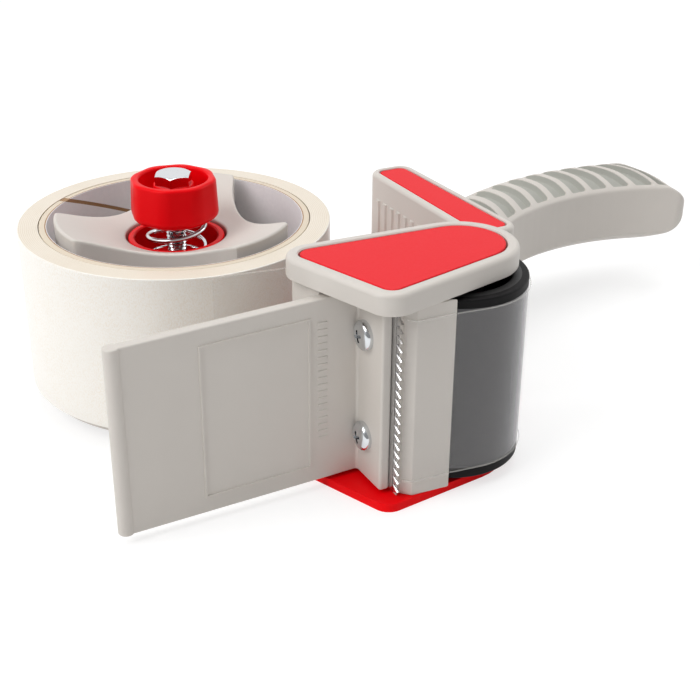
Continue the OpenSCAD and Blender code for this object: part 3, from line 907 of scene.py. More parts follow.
def smooth(mesh: bpy.types.Mesh) -> None:
    """Shades a mesh smooth except across its creases."""
    mesh.polygons.foreach_set("use_smooth", [True] * len(mesh.polygons))
    mesh.set_sharp_from_angle(angle=CREASE)
    mesh.update()


def add_object(name: str, mesh: bpy.types.Mesh) -> bpy.types.Object:
    """Links a new object with that mesh to the scene."""
    obj = bpy.data.objects.new(name, mesh)
    bpy.context.scene.collection.objects.link(obj)
    return obj


def baked(obj: bpy.types.Object) -> bpy.types.Mesh:
    """Returns the mesh that an object's modifiers make, as plain data."""
    graph = bpy.context.evaluated_depsgraph_get()
    graph.update()
    return bpy.data.meshes.new_from_object(obj.evaluated_get(graph), depsgraph=graph)


def settle(
    obj: bpy.types.Object,
    body: Body,
    slot: Slot,
    *nodes: str,
    even: bool = True,
) -> bpy.types.Object:
    """Attaches a finished piece to the empty of its body.

    Args:
        obj: The piece, in place.
        body: Body that it rides on.
        slot: Material slot; not used.
        nodes: CAD nodes that it stands for.
        even: Whether large faces rule the shading of the roundings beside them.

    Returns:
        The piece.
    """
    if even:
        weighted = obj.modifiers.new("even_shading", "WEIGHTED_NORMAL")
        weighted.keep_sharp = True
    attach(obj, body.value)
    if nodes:
        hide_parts(*nodes)
    log.info("%s rides on %s, %d faces", obj.name, body.value, len(obj.data.polygons))
    return obj


def make(
    name: str,
    shell: Shell,
    finish: Finish,
    body: Body,
    slot: Slot,
    *nodes: str,
) -> bpy.types.Object:
    """Makes a piece from a shell.

    Args:
        name: Name of the piece.
        shell: Its geometry.
        finish: Its finish.
        body: Body that it rides on.
        slot: Material slot; handed on to settle, which does not use it.
        nodes: CAD nodes that it stands for.

    Returns:
        The piece.
    """
    mesh = shell.mesh(name)
    mesh.materials.append(FINISHES.get(finish))
    return settle(add_object(name, mesh), body, slot, *nodes)


def dress(finish: Plastic | Metal, *nodes: str) -> None:
    """Gives carried-over CAD nodes their finish.

    Args:
        finish: The finish.
        nodes: Names of the nodes.
    """
    for name in nodes:
        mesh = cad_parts[name].data
        mesh.materials.clear()
        mesh.materials.append(FINISHES.get(finish))
        log.info("%s keeps its CAD shape in %s", name, finish.name)


# Repeated pieces


class Row:
    """Node tree that repeats one part along a straight row."""

    def __init__(self) -> None:
        """Builds the tree with its named inputs."""
        tree = bpy.data.node_groups.new("row_of_parts", "GeometryNodeTree")
        face = tree.interface
        kinds = {
            "Part": "NodeSocketObject",
            "Count": "NodeSocketInt",
            "Start": "NodeSocketVector",
            "Step": "NodeSocketVector",
            "Finish": "NodeSocketMaterial",
        }
        self.keys = {
            name: face.new_socket(name, in_out="INPUT", socket_type=kind).identifier
            for name, kind in kinds.items()
        }
        face.new_socket("Geometry", in_out="OUTPUT", socket_type="NodeSocketGeometry")
        given = add_node(tree, "NodeGroupInput")
        line = add_node(
            tree,
            "GeometryNodeMeshLine",
            {"mode": "OFFSET"},
            {
                "Count": given.outputs["Count"],
                "Start Location": given.outputs["Start"],
                "Offset": given.outputs["Step"],
            },
        )
        part = add_node(tree, "GeometryNodeObjectInfo", links={"Object": given.outputs["Part"]})
        spread = add_node(
            tree,
            "GeometryNodeInstanceOnPoints",
            links={"Points": line.outputs["Mesh"], "Instance": part.outputs["Geometry"]},
        )
        real = add_node(
            tree,
            "GeometryNodeRealizeInstances",
            links={"Geometry": spread.outputs["Instances"]},
        )
        finish = add_node(
            tree,
            "GeometryNodeSetMaterial",
            links={"Geometry": real.outputs["Geometry"], "Material": given.outputs["Finish"]},
        )
        add_node(tree, "NodeGroupOutput", links={"Geometry": finish.outputs["Geometry"]})
        self.tree = tree

    def lay(
        self,
        name: str,
        part: bpy.types.Mesh,
        count: int,
        start: Point3,
        step: Point3,
        finish: Plastic | Metal,
    ) -> bpy.types.Object:
        """Lays a row and turns it into one plain mesh.

        Args:
            name: Name of the piece.
            part: Mesh of one part, in metres.
            count: Number of parts.
            start: Place of the first part in millimetres.
            step: Way from one part to the next in millimetres.
            finish: Finish of the row.

        Returns:
            The piece.
        """
        source = add_object(name + "_part", part)
        host = add_object(name, bpy.data.meshes.new(name))
        rule = host.modifiers.new("row", "NODES")
        rule.node_group = self.tree
        rule[self.keys["Part"]] = source
        rule[self.keys["Count"]] = count
        rule[self.keys["Start"]] = [value * MM for value in start]
        rule[self.keys["Step"]] = [value * MM for value in step]
        rule[self.keys["Finish"]] = FINISHES.get(finish)
        mesh = baked(host)
        host.modifiers.clear()
        host.data = mesh
        bpy.data.objects.remove(source)
        smooth(mesh)
        return host


class Coil:
    """Node tree of a compression spring whose pitch closes towards both ends."""

    def __init__(self) -> None:
        """Builds the tree with its named inputs."""
        tree = bpy.data.node_groups.new("closed_end_coil", "GeometryNodeTree")
        face = tree.interface
        kinds = {
            "Points": "NodeSocketInt",
            "Turns": "NodeSocketFloat",
            "Radius": "NodeSocketFloat",
            "Wire": "NodeSocketFloat",
            "Bottom": "NodeSocketFloat",
            "Top": "NodeSocketFloat",
            "Finish": "NodeSocketMaterial",
        }
        self.keys = {
            name: face.new_socket(name, in_out="INPUT", socket_type=kind).identifier
            for name, kind in kinds.items()
        }
        face.new_socket("Geometry", in_out="OUTPUT", socket_type="NodeSocketGeometry")
        given = add_node(tree, "NodeGroupInput")
        line = add_node(tree, "GeometryNodeCurvePrimitiveLine")
        sampled = add_node(
            tree,
            "GeometryNodeResampleCurve",
            links={"Curve": line.outputs["Curve"], "Count": given.outputs["Points"]},
        )
        along = add_node(tree, "GeometryNodeSplineParameter")
        turns = add_node(
            tree,
            "ShaderNodeMath",
            {"operation": "MULTIPLY"},
            {0: along.outputs["Factor"], 1: given.outputs["Turns"]},
        )
        angle = add_node(
            tree,
            "ShaderNodeMath",
            {"operation": "MULTIPLY", 1: math.tau},
            {0: turns.outputs["Value"]},
        )
        height = add_node(
            tree,
            "ShaderNodeMapRange",
            {"interpolation_type": "SMOOTHERSTEP"},
            {
                "Value": along.outputs["Factor"],
                "To Min": given.outputs["Bottom"],
                "To Max": given.outputs["Top"],
            },
        )
        flat = []
        for operation in ("COSINE", "SINE"):
            wave = add_node(
                tree, "ShaderNodeMath", {"operation": operation}, {0: angle.outputs["Value"]}
            )
            flat.append(
                add_node(
                    tree,
                    "ShaderNodeMath",
                    {"operation": "MULTIPLY"},
                    {0: wave.outputs["Value"], 1: given.outputs["Radius"]},
                )
            )
        place = add_node(
            tree,
            "ShaderNodeCombineXYZ",
            links={
                "X": flat[0].outputs["Value"],
                "Y": flat[1].outputs["Value"],
                "Z": height.outputs["Result"],
            },
        )
        wound = add_node(
            tree,
            "GeometryNodeSetPosition",
            links={"Geometry": sampled.outputs["Curve"], "Position": place.outputs["Vector"]},
        )
        wire = add_node(
            tree,
            "GeometryNodeCurvePrimitiveCircle",
            {"Resolution": WIRE_SIDES},
            {"Radius": given.outputs["Wire"]},
        )
        swept = add_node(
            tree,
            "GeometryNodeCurveToMesh",
            {"Fill Caps": True},
            {"Curve": wound.outputs["Geometry"], "Profile Curve": wire.outputs["Curve"]},
        )
        real = add_node(
            tree, "GeometryNodeRealizeInstances", links={"Geometry": swept.outputs["Mesh"]}
        )
        finish = add_node(
            tree,
            "GeometryNodeSetMaterial",
            links={"Geometry": real.outputs["Geometry"], "Material": given.outputs["Finish"]},
        )
        add_node(tree, "NodeGroupOutput", links={"Geometry": finish.outputs["Geometry"]})
        self.tree = tree

    def wind(
        self,
        name: str,
        centre: Point,
        radius: float,
        wire: float,
        turns: float,
        phase: float,
        span: Point,
        finish: Metal,
    ) -> bpy.types.Object:
        """Winds a spring and turns it into a plain mesh.

        Args:
            name: Name of the piece.
            centre: Its axis in millimetres.
            radius: Mean radius in millimetres.
            wire: Wire diameter in millimetres.
            turns: Number of turns.
            phase: Direction of the lower end in degrees.
            span: Lower and upper end in millimetres.
            finish: Its finish.

        Returns:
            The piece.
        """
        host = add_object(name, bpy.data.meshes.new(name))
        rule = host.modifiers.new("coil", "NODES")
        rule.node_group = self.tree
        rule[self.keys["Points"]] = int(turns * COIL_POINTS)
        rule[self.keys["Turns"]] = turns
        rule[self.keys["Radius"]] = radius * MM
        rule[self.keys["Wire"]] = wire / 2 * MM
        rule[self.keys["Bottom"]] = (span[0] + wire / 2) * MM
        rule[self.keys["Top"]] = (span[1] - wire / 2) * MM
        rule[self.keys["Finish"]] = FINISHES.get(finish)
        mesh = baked(host)
        host.modifiers.clear()
        host.data = mesh
        turned = Matrix.Rotation(math.radians(phase), 4, "Z")
        mesh.transform(Matrix.Translation((centre[0] * MM, centre[1] * MM, 0)) @ turned)
        smooth(mesh)
        return host


def cross_screw(head: Profile, depth: float, reach: float, slot: float) -> bpy.types.Mesh:
    """Makes a screw head with a cross recess, its axis along Z and its top at zero.

    Args:
        head: Profile of the head, from its rim to its top.
        depth: Depth of the recess in millimetres.
        reach: Half the length of a recess arm.
        slot: Width of a recess arm.

    Returns:
        The mesh in metres.
    """
    body = Shell()
    body.turned((0, 0), head, SCREW_STEPS, Ends.CAPPED)
    obj = add_object("screw_blank", body.mesh("screw_blank"))
    ring = rectangle(reach, slot / 2)
    low = [(x * RECESS_TAPER[0], y * RECESS_TAPER[1], -depth) for x, y in ring]
    high = [(x, y, depth) for x, y in ring]
    tools = []
    for turn in (0, 90):
        arm = Shell()
        arm.loft([low, high])
        tool = add_object("recess", arm.mesh("recess", Matrix.Rotation(math.radians(turn), 4, "Z")))
        cut = obj.modifiers.new("recess", "BOOLEAN")
        cut.operation = "DIFFERENCE"
        cut.solver = "EXACT"
        cut.object = tool
        tools.append(tool)
    mesh = baked(obj)
    for spare in [obj, *tools]:
        bpy.data.objects.remove(spare)
    return mesh


# Sub-assemblies


@dataclass
class Head:
    """Head of the dispenser: cover, inlay and the block that guides the tape."""

    circles: list[Circle] = field(
        default_factory=lambda: [(-28.7, -15.5, 6.6), (2.4, 0.8, 15.5), (-36.6, 11.2, 7.6)]
    )
    cover_low: float = 59.0
    cover_high: float = 65.0
    deck: float = 61.55
    wall: float = 2.2
    border: float = 3.25
    edge: float = 1.4
    rim_edge: float = 0.35
    inlay_low: float = 62.6
    inlay_high: float = 64.85
    inlay_gap: float = 0.5
    inlay_edge: float = 0.35
    block_low: float = 2.5
    block_high: float = 58.8
    block_left: float = -26.4
    block_radius: float = 22.15
    guide: float = -19.0
    back: float = 15.5
    root: float = 2.2
    block_edge: float = 0.4
    block_inset: float = 1.1
    nose_off: Point = (3.8, 0.6)
    nose_round: float = 0.8
    chamfer_off: Point = (1.3, 3.3)
    seat_drop: float = 1.0
    foot_off: float = 3.2
    back_round: float = 3.0
    hollow_steps: int = 48

    @property
    def guide_end(self) -> Point:
        """End of the guide at the roller."""
        return -math.sqrt(self.block_radius**2 - self.guide**2), self.guide

    @property
    def nose(self) -> Point:
        """Corner where the guide turns up to the blade."""
        return self.block_left + self.nose_off[0], self.guide + self.nose_off[1]

    @property
    def chamfer(self) -> Point:
        """Upper end of the slope behind the blade."""
        return self.block_left + self.chamfer_off[0], self.guide + self.chamfer_off[1]

    def build(self) -> None:
        """Builds and dresses the pieces."""
        outline = belt(self.circles)
        cover = Shell()
        levels = [(self.wall, self.deck), (self.wall, self.cover_low)]
        levels += soft_bottom(self.cover_low, self.rim_edge, 2)
        levels += soft_top(self.cover_high, self.edge, 6)
        levels += [(self.border - self.rim_edge, self.cover_high)]
        levels += [(self.border, self.cover_high - self.rim_edge), (self.border, self.inlay_low)]
        cover.stack(outline, levels)
        make("head_cover_shell", cover, GREY_ABS, Body.FRAME, Slot.GREY, "head_cover")

        inlay = Shell()
        inside = shrink(outline, self.border + self.inlay_gap)
        inlay.stack(inside, [(0.0, self.inlay_low), *soft_top(self.inlay_high, self.inlay_edge, 3)])
        make("head_cover_inlay", inlay, CORAL_ABS, Body.FRAME, Slot.INLAY, "cover_inlay")

        block = Shell()
        rings = soft_bottom(self.block_low, self.block_edge, 2)
        rings += soft_top(self.block_high, self.block_edge, 2)
        block.stack(self.block_plan(), rings)
        make("guide_block", block, GREY_ABS, Body.FRAME, Slot.GREY, "head_block")

    def block_plan(self) -> list[Point]:
        """Returns the block's plan: blade seat, nose, guide, hollow round the roller and back wall."""
        reach = self.block_radius
        guide_end, nose, chamfer = self.guide_end, self.nose, self.chamfer
        back_x = -math.sqrt(reach**2 - self.back**2)
        start = math.degrees(math.atan2(guide_end[1], guide_end[0])) + 360
        end = math.degrees(math.atan2(self.back, back_x))
        left = self.circles[2][0] - self.circles[2][2] + self.block_inset
        foot = (left + self.foot_off, self.root)
        hollow = arc((0, 0), reach, start, end, self.hollow_steps)
        seat = (self.block_left, chamfer[1] - self.seat_drop)
        return [
            (self.block_left, self.root),
            seat,
            chamfer,
            *fillet(chamfer, nose, guide_end, self.nose_round, 5),
            *hollow,
            *fillet((back_x, self.back), (left, self.back), foot, self.back_round),
            foot,
        ]


@dataclass
class Wiper:
    """Smoothing plate with its screwed flange, screws and the serrated blade behind it."""

    front: float = -1.0
    thick: float = 3.2
    tip: float = -96.3
    bead: float = 2.2
    low: float = 3.1
    high: float = 55.5
    climb_low: Point = (-0.4, 0.5)
    climb_high: Point = (0.6, 2.4)
    flange_x: float = -30.0
    blade_x: float = -27.0
    foot: float = -13.8
    fold: float = 0.8
    edge: float = 0.5
    frame_x: Point = (-75.0, -44.0)
    frame_z: Point = (7.6, 51.0)
    ridge: float = 0.8
    ridge_high: float = 0.4
    ridge_sink: float = 0.2
    ridge_slope: float = 0.15
    tick_x: float = -40.6
    tick_first: float = 16.8
    tick_pitch: float = 2.0
    ticks: int = 18
    tick_half: Point = (1.4, 0.35)
    tick_z: Point = (-0.3, 0.22)
    tick_edge: float = 0.2
    screw_y: float = -5.0
    screws_z: Point = (16.5, 46.8)
    screw_head: float = 4.1
    screw_high: float = 2.6
    screw_turn: float = 20.0
    dome: float = 1.6
    dome_angles: tuple[float, ...] = (0.0, 0.25, 0.5, 0.75, 1.0, 1.25, 1.45)
    recess: Point3 = (1.5, 2.3, 0.95)
    blade_thick: float = 0.6
    blade_root: float = -2.5
    blade_tip: float = -18.2
    tooth: float = 2.5
    tooth_root: float = 0.2
    tooth_bevel: Point = (0.28, 0.24)
    teeth: int = 21
    blade_z: Point = (3.5, 58.5)

    def build(self, row: Row) -> None:
        """Builds and dresses the pieces.

        Args:
            row: Tree that lays rows.
        """
        back = self.front + self.thick
        lean = math.degrees(math.asin(self.thick / 2 / self.bead))
        middle = (self.tip, self.front + self.thick / 2)
        outline = arc(middle, self.bead, lean, 360 - lean, 32)
        tip = outline[-1]
        corner = (self.flange_x, self.front)
        toe = (self.flange_x, self.foot)
        heel = (self.blade_x, self.foot)
        outline += fillet(tip, corner, toe, self.fold)
        outline += fillet(corner, toe, heel, self.fold)
        outline += fillet(toe, heel, (self.blade_x, back), self.fold)
        outline += [(self.blade_x, back)]
        plate = Shell()
        plate.stack(outline, soft_bottom(self.low, self.edge) + soft_top(self.high, self.edge))
        self.add_frame(plate)
        plate.points = [self.lifted(*point) for point in plate.points]
        make("wiper_blade_plate", plate, GREY_ABS, Body.FRAME, Slot.GREY, "wiper_plate")

        tick = Shell()
        root, crest = self.tick_z
        tick.stack(rectangle(*self.tick_half), [(0.0, root), *soft_top(crest, self.tick_edge, 3)])
        upright = Matrix.Rotation(math.radians(90), 4, "X")
        ticks = row.lay(
            "wiper_ticks",
            tick.mesh("tick", upright),
            self.ticks,
            (self.tick_x, self.front, self.tick_first),
            (0, 0, self.tick_pitch),
            GREY_ABS,
        )
        settle(ticks, Body.FRAME, Slot.GREY)
        self.add_screws(row)
        self.add_blade(row)

    def lifted(self, x: float, y: float, z: float) -> Point3:
        """Moves a point of the level plate up, as its edges climb from the tip to the flange."""
        along = clamp((x - self.tip) / (self.flange_x - self.tip))
        share = (z - self.low) / (self.high - self.low)
        below, above = between(self.climb_low, along), between(self.climb_high, along)
        return x, y, z + below + (above - below) * share

    def add_frame(self, plate: Shell) -> None:
        """Adds the bare raised frame on the plate's front face."""
        x0, x1 = self.frame_x
        z0, z1 = self.frame_z
        rings = []
        sunk = self.front + self.ridge_sink
        proud = self.front - self.ridge_high
        for inset, y in (
            (0.0, sunk),
            (self.ridge_slope, proud),
            (self.ridge - self.ridge_slope, proud),
            (self.ridge, sunk),
        ):
            rings.append(
                [
                    (x0 + inset, y, z0 + inset),
                    (x1 - inset, y, z0 + inset),
                    (x1 - inset, y, z1 - inset),
                    (x0 + inset, y, z1 - inset),
                ]
            )
        plate.loft(rings, Ends.LOOPED)

    def add_screws(self, row: Row) -> None:
        """Adds the two pan-head screws."""
        rim, high = self.screw_head, self.screw_high

        def head(_: float) -> list[Point]:
            """Profile of a pan head."""
            dome = [(rim * math.cos(a), -self.dome + self.dome * math.sin(a)) for a in self.dome_angles]
            return [(rim, -high), *dome]

        screw = cross_screw(head, *self.recess)
        turn = Matrix.Rotation(math.radians(self.screw_turn), 4, "Z")
        screw.transform(Matrix.Rotation(math.radians(-90), 4, "Y") @ turn)
        low, top = self.screws_z
        start = (self.flange_x - high, self.screw_y, low)
        screws = row.lay("wiper_screw_heads", screw, 2, start, (0, 0, top - low), ZINC)
        settle(screws, Body.FRAME, Slot.ZINC, "wiper_screws", even=False)

    def add_blade(self, row: Row) -> None:
        """Adds the blade's strip and its ground teeth."""
        x0, x1 = self.blade_x, self.blade_x + self.blade_thick
        z0, z1 = self.blade_z
        root, gullet = self.blade_root, self.blade_tip + self.tooth
        strip = Shell()
        rings = []
        for z in (z0, z1):
            rings.append([(x0, gullet, z), (x1, gullet, z), (x1, root, z), (x0, root, z)])
        strip.loft(rings)
        make("blade_strip", strip, STRIP_STEEL, Body.FRAME, Slot.BLADE, "cutting_blade")

        pitch = (z1 - z0) / self.teeth
        half = pitch / 2
        seat = gullet + self.tooth_root
        wedge = Shell()
        inward, ground = self.tooth_bevel
        rings = []
        for x, fall in ((x0, ground), (x0 + inward, 0.0), (x1, 0.0)):
            tip = (x, self.blade_tip + fall * self.tooth / pitch, -fall / 2)
            high = half - fall
            rings.append([(x, seat, -half), (x, gullet, -half), tip, (x, gullet, high), (x, seat, high)])
        wedge.loft(rings)
        start = (0.0, 0.0, z0 + half)
        teeth = row.lay("blade_teeth", wedge.mesh("tooth"), self.teeth, start, (0, 0, pitch), STRIP_STEEL)
        settle(teeth, Body.FRAME, Slot.BLADE, "cutting_blade", even=False)


@dataclass
class Handle:
    """Curved grip bar: crowned above and below, with cross grooves and a rounded end.

    Its rows follow the grooves across the bar, so that each groove has clean walls.
    """

    pivot: Point = (97.0, -8.0)
    front: float = 76.0
    width: float = 24.5
    middle: float = 31.5
    crown: float = 13.5
    edge: float = 8.5
    root_x: float = 29.8
    root_step: float = 4.0
    root_rows: int = 6
    toe: Point = (139.5, 54.7)
    heel: Point = (136.3, 84.3)
    toe_round: float = 4.0
    heel_round: float = 9.0
    straight: float = 7.0
    end_half: Point = (1.5, 3.0)
    end_length: Point = (20.0, 15.0)
    end_bulge: float = 1.4
    end_blend: float = 0.4
    end_rows: int = 22
    end_crowd: float = 1.6
    toe_steps: int = 12
    heel_steps: int = 16
    soft: Point = (0.6, 1.6)
    soft_length: Point = (17.0, 6.0)
    soft_steps: int = 4
    crease: float = 0.8
    grooves: int = 9
    groove_first: float = 54.4
    groove_pitch: float = 8.6
    groove_half: float = 3.1
    groove_wall: float = 0.7
    wall_steps: int = 4
    groove_depth: float = 2.2
    groove_last: Point = (129.9, 2.0)
    rib_half: float = 1.0
    land: float = 0.055
    land_below: float = 0.3
    land_wall: float = 0.045
    groove_stop: float = 0.78
    groove_fade: float = 0.12
    # Lift, root and span of the groove linings, which carry the painted shade of the grooves
    pad: float = 0.12
    pad_root: float = 0.3
    lined_from: float = 0.1
    lining_start: float = 0.03
    lining_stop: float = 0.7
    lean_first: float = 9.0
    lean_more: float = 11.0
    columns: tuple[float, ...] = (
        *(0.05, 0.06, 0.07, 0.08, 0.095, 0.12, 0.16, 0.23, 0.31, 0.4),
        *(0.5, 0.6, 0.7, 0.78, 0.81, 0.84, 0.87, 0.9, 0.95),
    )

    def lean(self, x: float) -> float:
        """Direction of the groove that starts at x on the front edge, in radians from +Y."""
        share = (x - self.groove_first) / (self.groove_pitch * (self.grooves - 1))
        return math.radians(self.lean_first + self.lean_more * share**2)

    def front_point(self, x: float) -> Vector:
        """Point of the hollow front edge at x."""
        return Vector((x, self.pivot[1] + math.sqrt(self.front**2 - (x - self.pivot[0]) ** 2)))

    def across(self, start: Vector, lean: float) -> Vector:
        """Point of the rear edge that a line from the front edge meets."""
        way = Vector((-math.sin(lean), math.cos(lean)))
        from_pivot = start - Vector(self.pivot)
        along = from_pivot.dot(way)
        outer = self.front + self.width
        return start + way * (math.sqrt(along**2 + outer**2 - self.front**2) - along)

    def stations(self) -> list[Point]:
        """Places of the rows on the front edge before the end, each with its share of the groove depth."""
        steps = self.wall_steps
        rows = [(self.root_x + self.root_step * k, 0.0) for k in range(self.root_rows)]
        room = self.groove_pitch / 2 - self.rib_half
        places = [(self.groove_first + i * self.groove_pitch, room) for i in range(self.grooves)]
        for x, limit in [*places, self.groove_last]:
            slope = (self.pivot[0] - x) / (self.front_point(x).y - self.pivot[1])
            lean = self.lean(x)
            half = min(self.groove_half / (math.cos(lean) + math.sin(lean) * slope), limit)
            wall = [(half - self.groove_wall * k / steps, ease(k / steps)) for k in range(steps + 1)]
            rows += [(x - off, share) for off, share in wall]
            rows += [(x, 1.0)]
            rows += [(x + off, share) for off, share in reversed(wall)]
        return rows

    def rows(self) -> list[tuple[Vector, Vector, float]]:
        """Front point, rear point and share of the groove depth of each row."""
        rows = []
        for x, share in self.stations():
            start = self.front_point(x)
            rows.append((start, self.across(start, self.lean(x)), share))
        last, rear, _ = rows[-1]
        bend = self.front_point(self.toe[0] - self.straight)
        outer = self.front + self.width
        back_x = self.heel[0] - self.straight
        back = Vector((back_x, self.pivot[1] + math.sqrt(outer**2 - (back_x - self.pivot[0]) ** 2)))
        toe = fillet(bend, self.toe, self.heel, self.toe_round, self.toe_steps)
        heel = fillet(back, self.heel, self.toe, self.heel_round, self.heel_steps)
        fore = self.sweep(last, bend, self.front) + toe
        aft = self.sweep(rear, back, outer) + heel
        for k in range(1, self.end_rows + 1):
            share = 1 - (1 - k / self.end_rows) ** self.end_crowd
            rows.append((point_along(fore, share), point_along(aft, share), 0.0))
        return rows

    def sweep(self, first: Vector, last: Vector, radius: float) -> list[Point]:
        """Arc round the pivot between two of its points."""
        angles = [math.degrees(math.atan2(p.y - self.pivot[1], p.x - self.pivot[0])) for p in (first, last)]
        return arc(self.pivot, radius, angles[0], angles[1], self.toe_steps)

    def half_height(self, place: Vector, across: float) -> float:
        """Half the bar's thickness at a place in plan, whose share of the way across is given."""
        rise = self.crown - self.edge
        radius = (self.width**2 / 4 + rise**2) / (2 * rise)
        reach = (place - Vector(self.pivot)).length - self.front - self.width / 2
        reach = max(-self.width / 2, min(self.width / 2, reach))
        crowned = self.crown - radius + math.sqrt(radius**2 - reach**2)
        end = (Vector(self.heel) - Vector(self.toe)).normalized()
        inside = (place - Vector(self.toe)).dot(Vector((-end.y, end.x)))
        blend = ease(across / self.end_blend)
        band = between(self.end_half, blend)
        share = clamp(inside / between(self.end_length, blend))
        bulge = (1 - (1 - share) ** self.end_bulge) ** (1 / self.end_bulge)
        rounded = band + (self.crown - band) * bulge
        mix = clamp(0.5 + 0.5 * (rounded - crowned) / self.crease)
        return rounded + (crowned - rounded) * mix - self.crease * mix * (1 - mix)

    def section(self, start: Vector, stop: Vector, share: float) -> list[Point3]:
        """Ring of the bar along one row, from its lower front edge up and over."""
        length = (stop - start).length
        front, rear = self.half_height(start, 0.0), self.half_height(stop, 1.0)
        soft = between(self.soft, clamp((length - self.soft_length[0]) / self.soft_length[1]))
        halves = []
        for side in (1, -1):
            face = [(w * length, self.skin(start, stop, w, side, share)) for w in self.columns]
            half = fillet((0, 0), (0, front), face[0], soft, self.soft_steps)
            half += face
            half += fillet(face[-1], (length, rear), (length, 0), soft, self.soft_steps)
            halves.append([(along, side * z) for along, z in half])
        ring = halves[0] + halves[1][::-1]
        way = (stop - start).normalized()
        return [(start.x + way.x * along, start.y + way.y * along, self.middle + z) for along, z in ring]

    def skin(self, start: Vector, stop: Vector, w: float, side: int, share: float) -> float:
        """Distance of the upper (1) or lower (-1) face from the middle plane, at a share w across a row."""
        first = self.land if side > 0 else self.land_below
        groove = ease((w - first) / self.land_wall) * (1 - ease((w - self.groove_stop) / self.groove_fade))
        return self.half_height(start.lerp(stop, w), w) - self.groove_depth * share * groove

    def add_to(self, shell: Shell) -> None:
        """Adds the bar to a shell."""
        shell.loft([self.section(*row) for row in self.rows()])

    def floors(self) -> Shell:
        """Returns thin linings of the grooves, floor and walls, which carry the darker painted shade of the
        grooves.
        """
        grooves: list[list[tuple[Vector, Vector, float]]] = [[]]
        for row in self.rows():
            if row[2] > self.lined_from:
                grooves[-1].append(row)
            elif grooves[-1]:
                grooves.append([])
        shell = Shell()
        end = self.groove_stop + self.lining_stop * self.groove_fade
        for groove in grooves[:-1]:
            for side, first in ((1, self.land), (-1, self.land_below)):
                spread = [w for w in self.columns if first + self.lining_start < w < end]
                skins = [(w, self.pad) for w in spread]
                skins += [(w, -self.pad_root) for w in reversed(spread)]
                rings = []
                for start, stop, share in groove:
                    ring = []
                    for w, lift in skins:
                        place = start.lerp(stop, w)
                        z = self.skin(start, stop, w, side, share) + lift
                        ring.append((place.x, place.y, self.middle + side * z))
                    rings.append(ring)
                shell.loft(rings)
        return shell


@dataclass
class Grip:
    """Neck with its thumb ribs and the grip bar, one moulding, and the neck's inlay."""

    circles: list[Circle] = field(
        default_factory=lambda: [(24.4, 24.5, 5.0), (30.4, 24.5, 5.0), (29.2, 79.0, 5.0), (24.4, 79.0, 5.0)]
    )
    low: float = 2.5
    high: float = 57.0
    edge: float = 1.4
    border: float = 2.2
    rim_edge: float = 0.3
    inlay_gap: float = 0.45
    inlay_low: float = 55.75
    inlay_high: float = 56.75
    inlay_edge: float = 0.3
    ribs: int = 8
    rib_first: float = 77.25
    rib_pitch: float = 4.28
    rib_wide: float = 2.5
    rib_high: float = 0.5
    rib_z: Point = (8.0, 49.2)
    rib_wall: float = 0.5

    def build(self) -> None:
        """Builds and dresses the pieces."""
        shell = Shell()
        plain, ribbed = self.plan(0.0), self.plan(self.rib_high)
        levels = [(plain, inset, z) for inset, z in soft_bottom(self.low, self.rim_edge, 2)]
        first, last = self.rib_z
        levels += [(plain, 0.0, first), (ribbed, 0.0, first + self.rib_wall)]
        levels += [(ribbed, 0.0, last - self.rib_wall), (plain, 0.0, last)]
        levels += [(plain, inset, z) for inset, z in soft_top(self.high, self.edge, 5)]
        levels += [(plain, self.border - self.rim_edge, self.high)]
        levels += [(plain, self.border, self.high - self.rim_edge), (plain, self.border, self.inlay_low)]
        shell.loft([[(x, y, z) for x, y in shrink(plan, inset)] for plan, inset, z in levels])
        handle = Handle()
        handle.add_to(shell)
        make("grip_moulding", shell, GREY_ABS, Body.FRAME, Slot.GREY, "grip")
        # Darker linings in the grooves: painted shade standing in for the grooves' depth
        make("grip_groove_floors", handle.floors(), GROOVE_PAINTED_SHADE_ABS, Body.FRAME, Slot.GREY)

        inlay = Shell()
        inside = belt(self.circles, -self.border - self.inlay_gap)
        inlay.stack(inside, [(0.0, self.inlay_low), *soft_top(self.inlay_high, self.inlay_edge, 3)])
        make("neck_inlay_plate", inlay, CORAL_ABS, Body.FRAME, Slot.INLAY, "neck_inlay")

    def plan(self, high: float) -> list[Point]:
        """Outline of the neck with the thumb ribs on its left face.

        Args:
            high: Height of the ribs.

        Returns:
            The outline, counter-clockwise, with as many points for any height.
        """
        outline = belt(self.circles)
        left = self.circles[-1][0] - self.circles[-1][2]
        bars = []
        for i in range(self.ribs):
            y = self.rib_first - i * self.rib_pitch
            foot = y - self.rib_wide
            bars += [(left, y), (left - high, y - self.rib_wall)]
            bars += [(left - high, foot + self.rib_wall), (left, foot)]
        return outline + bars


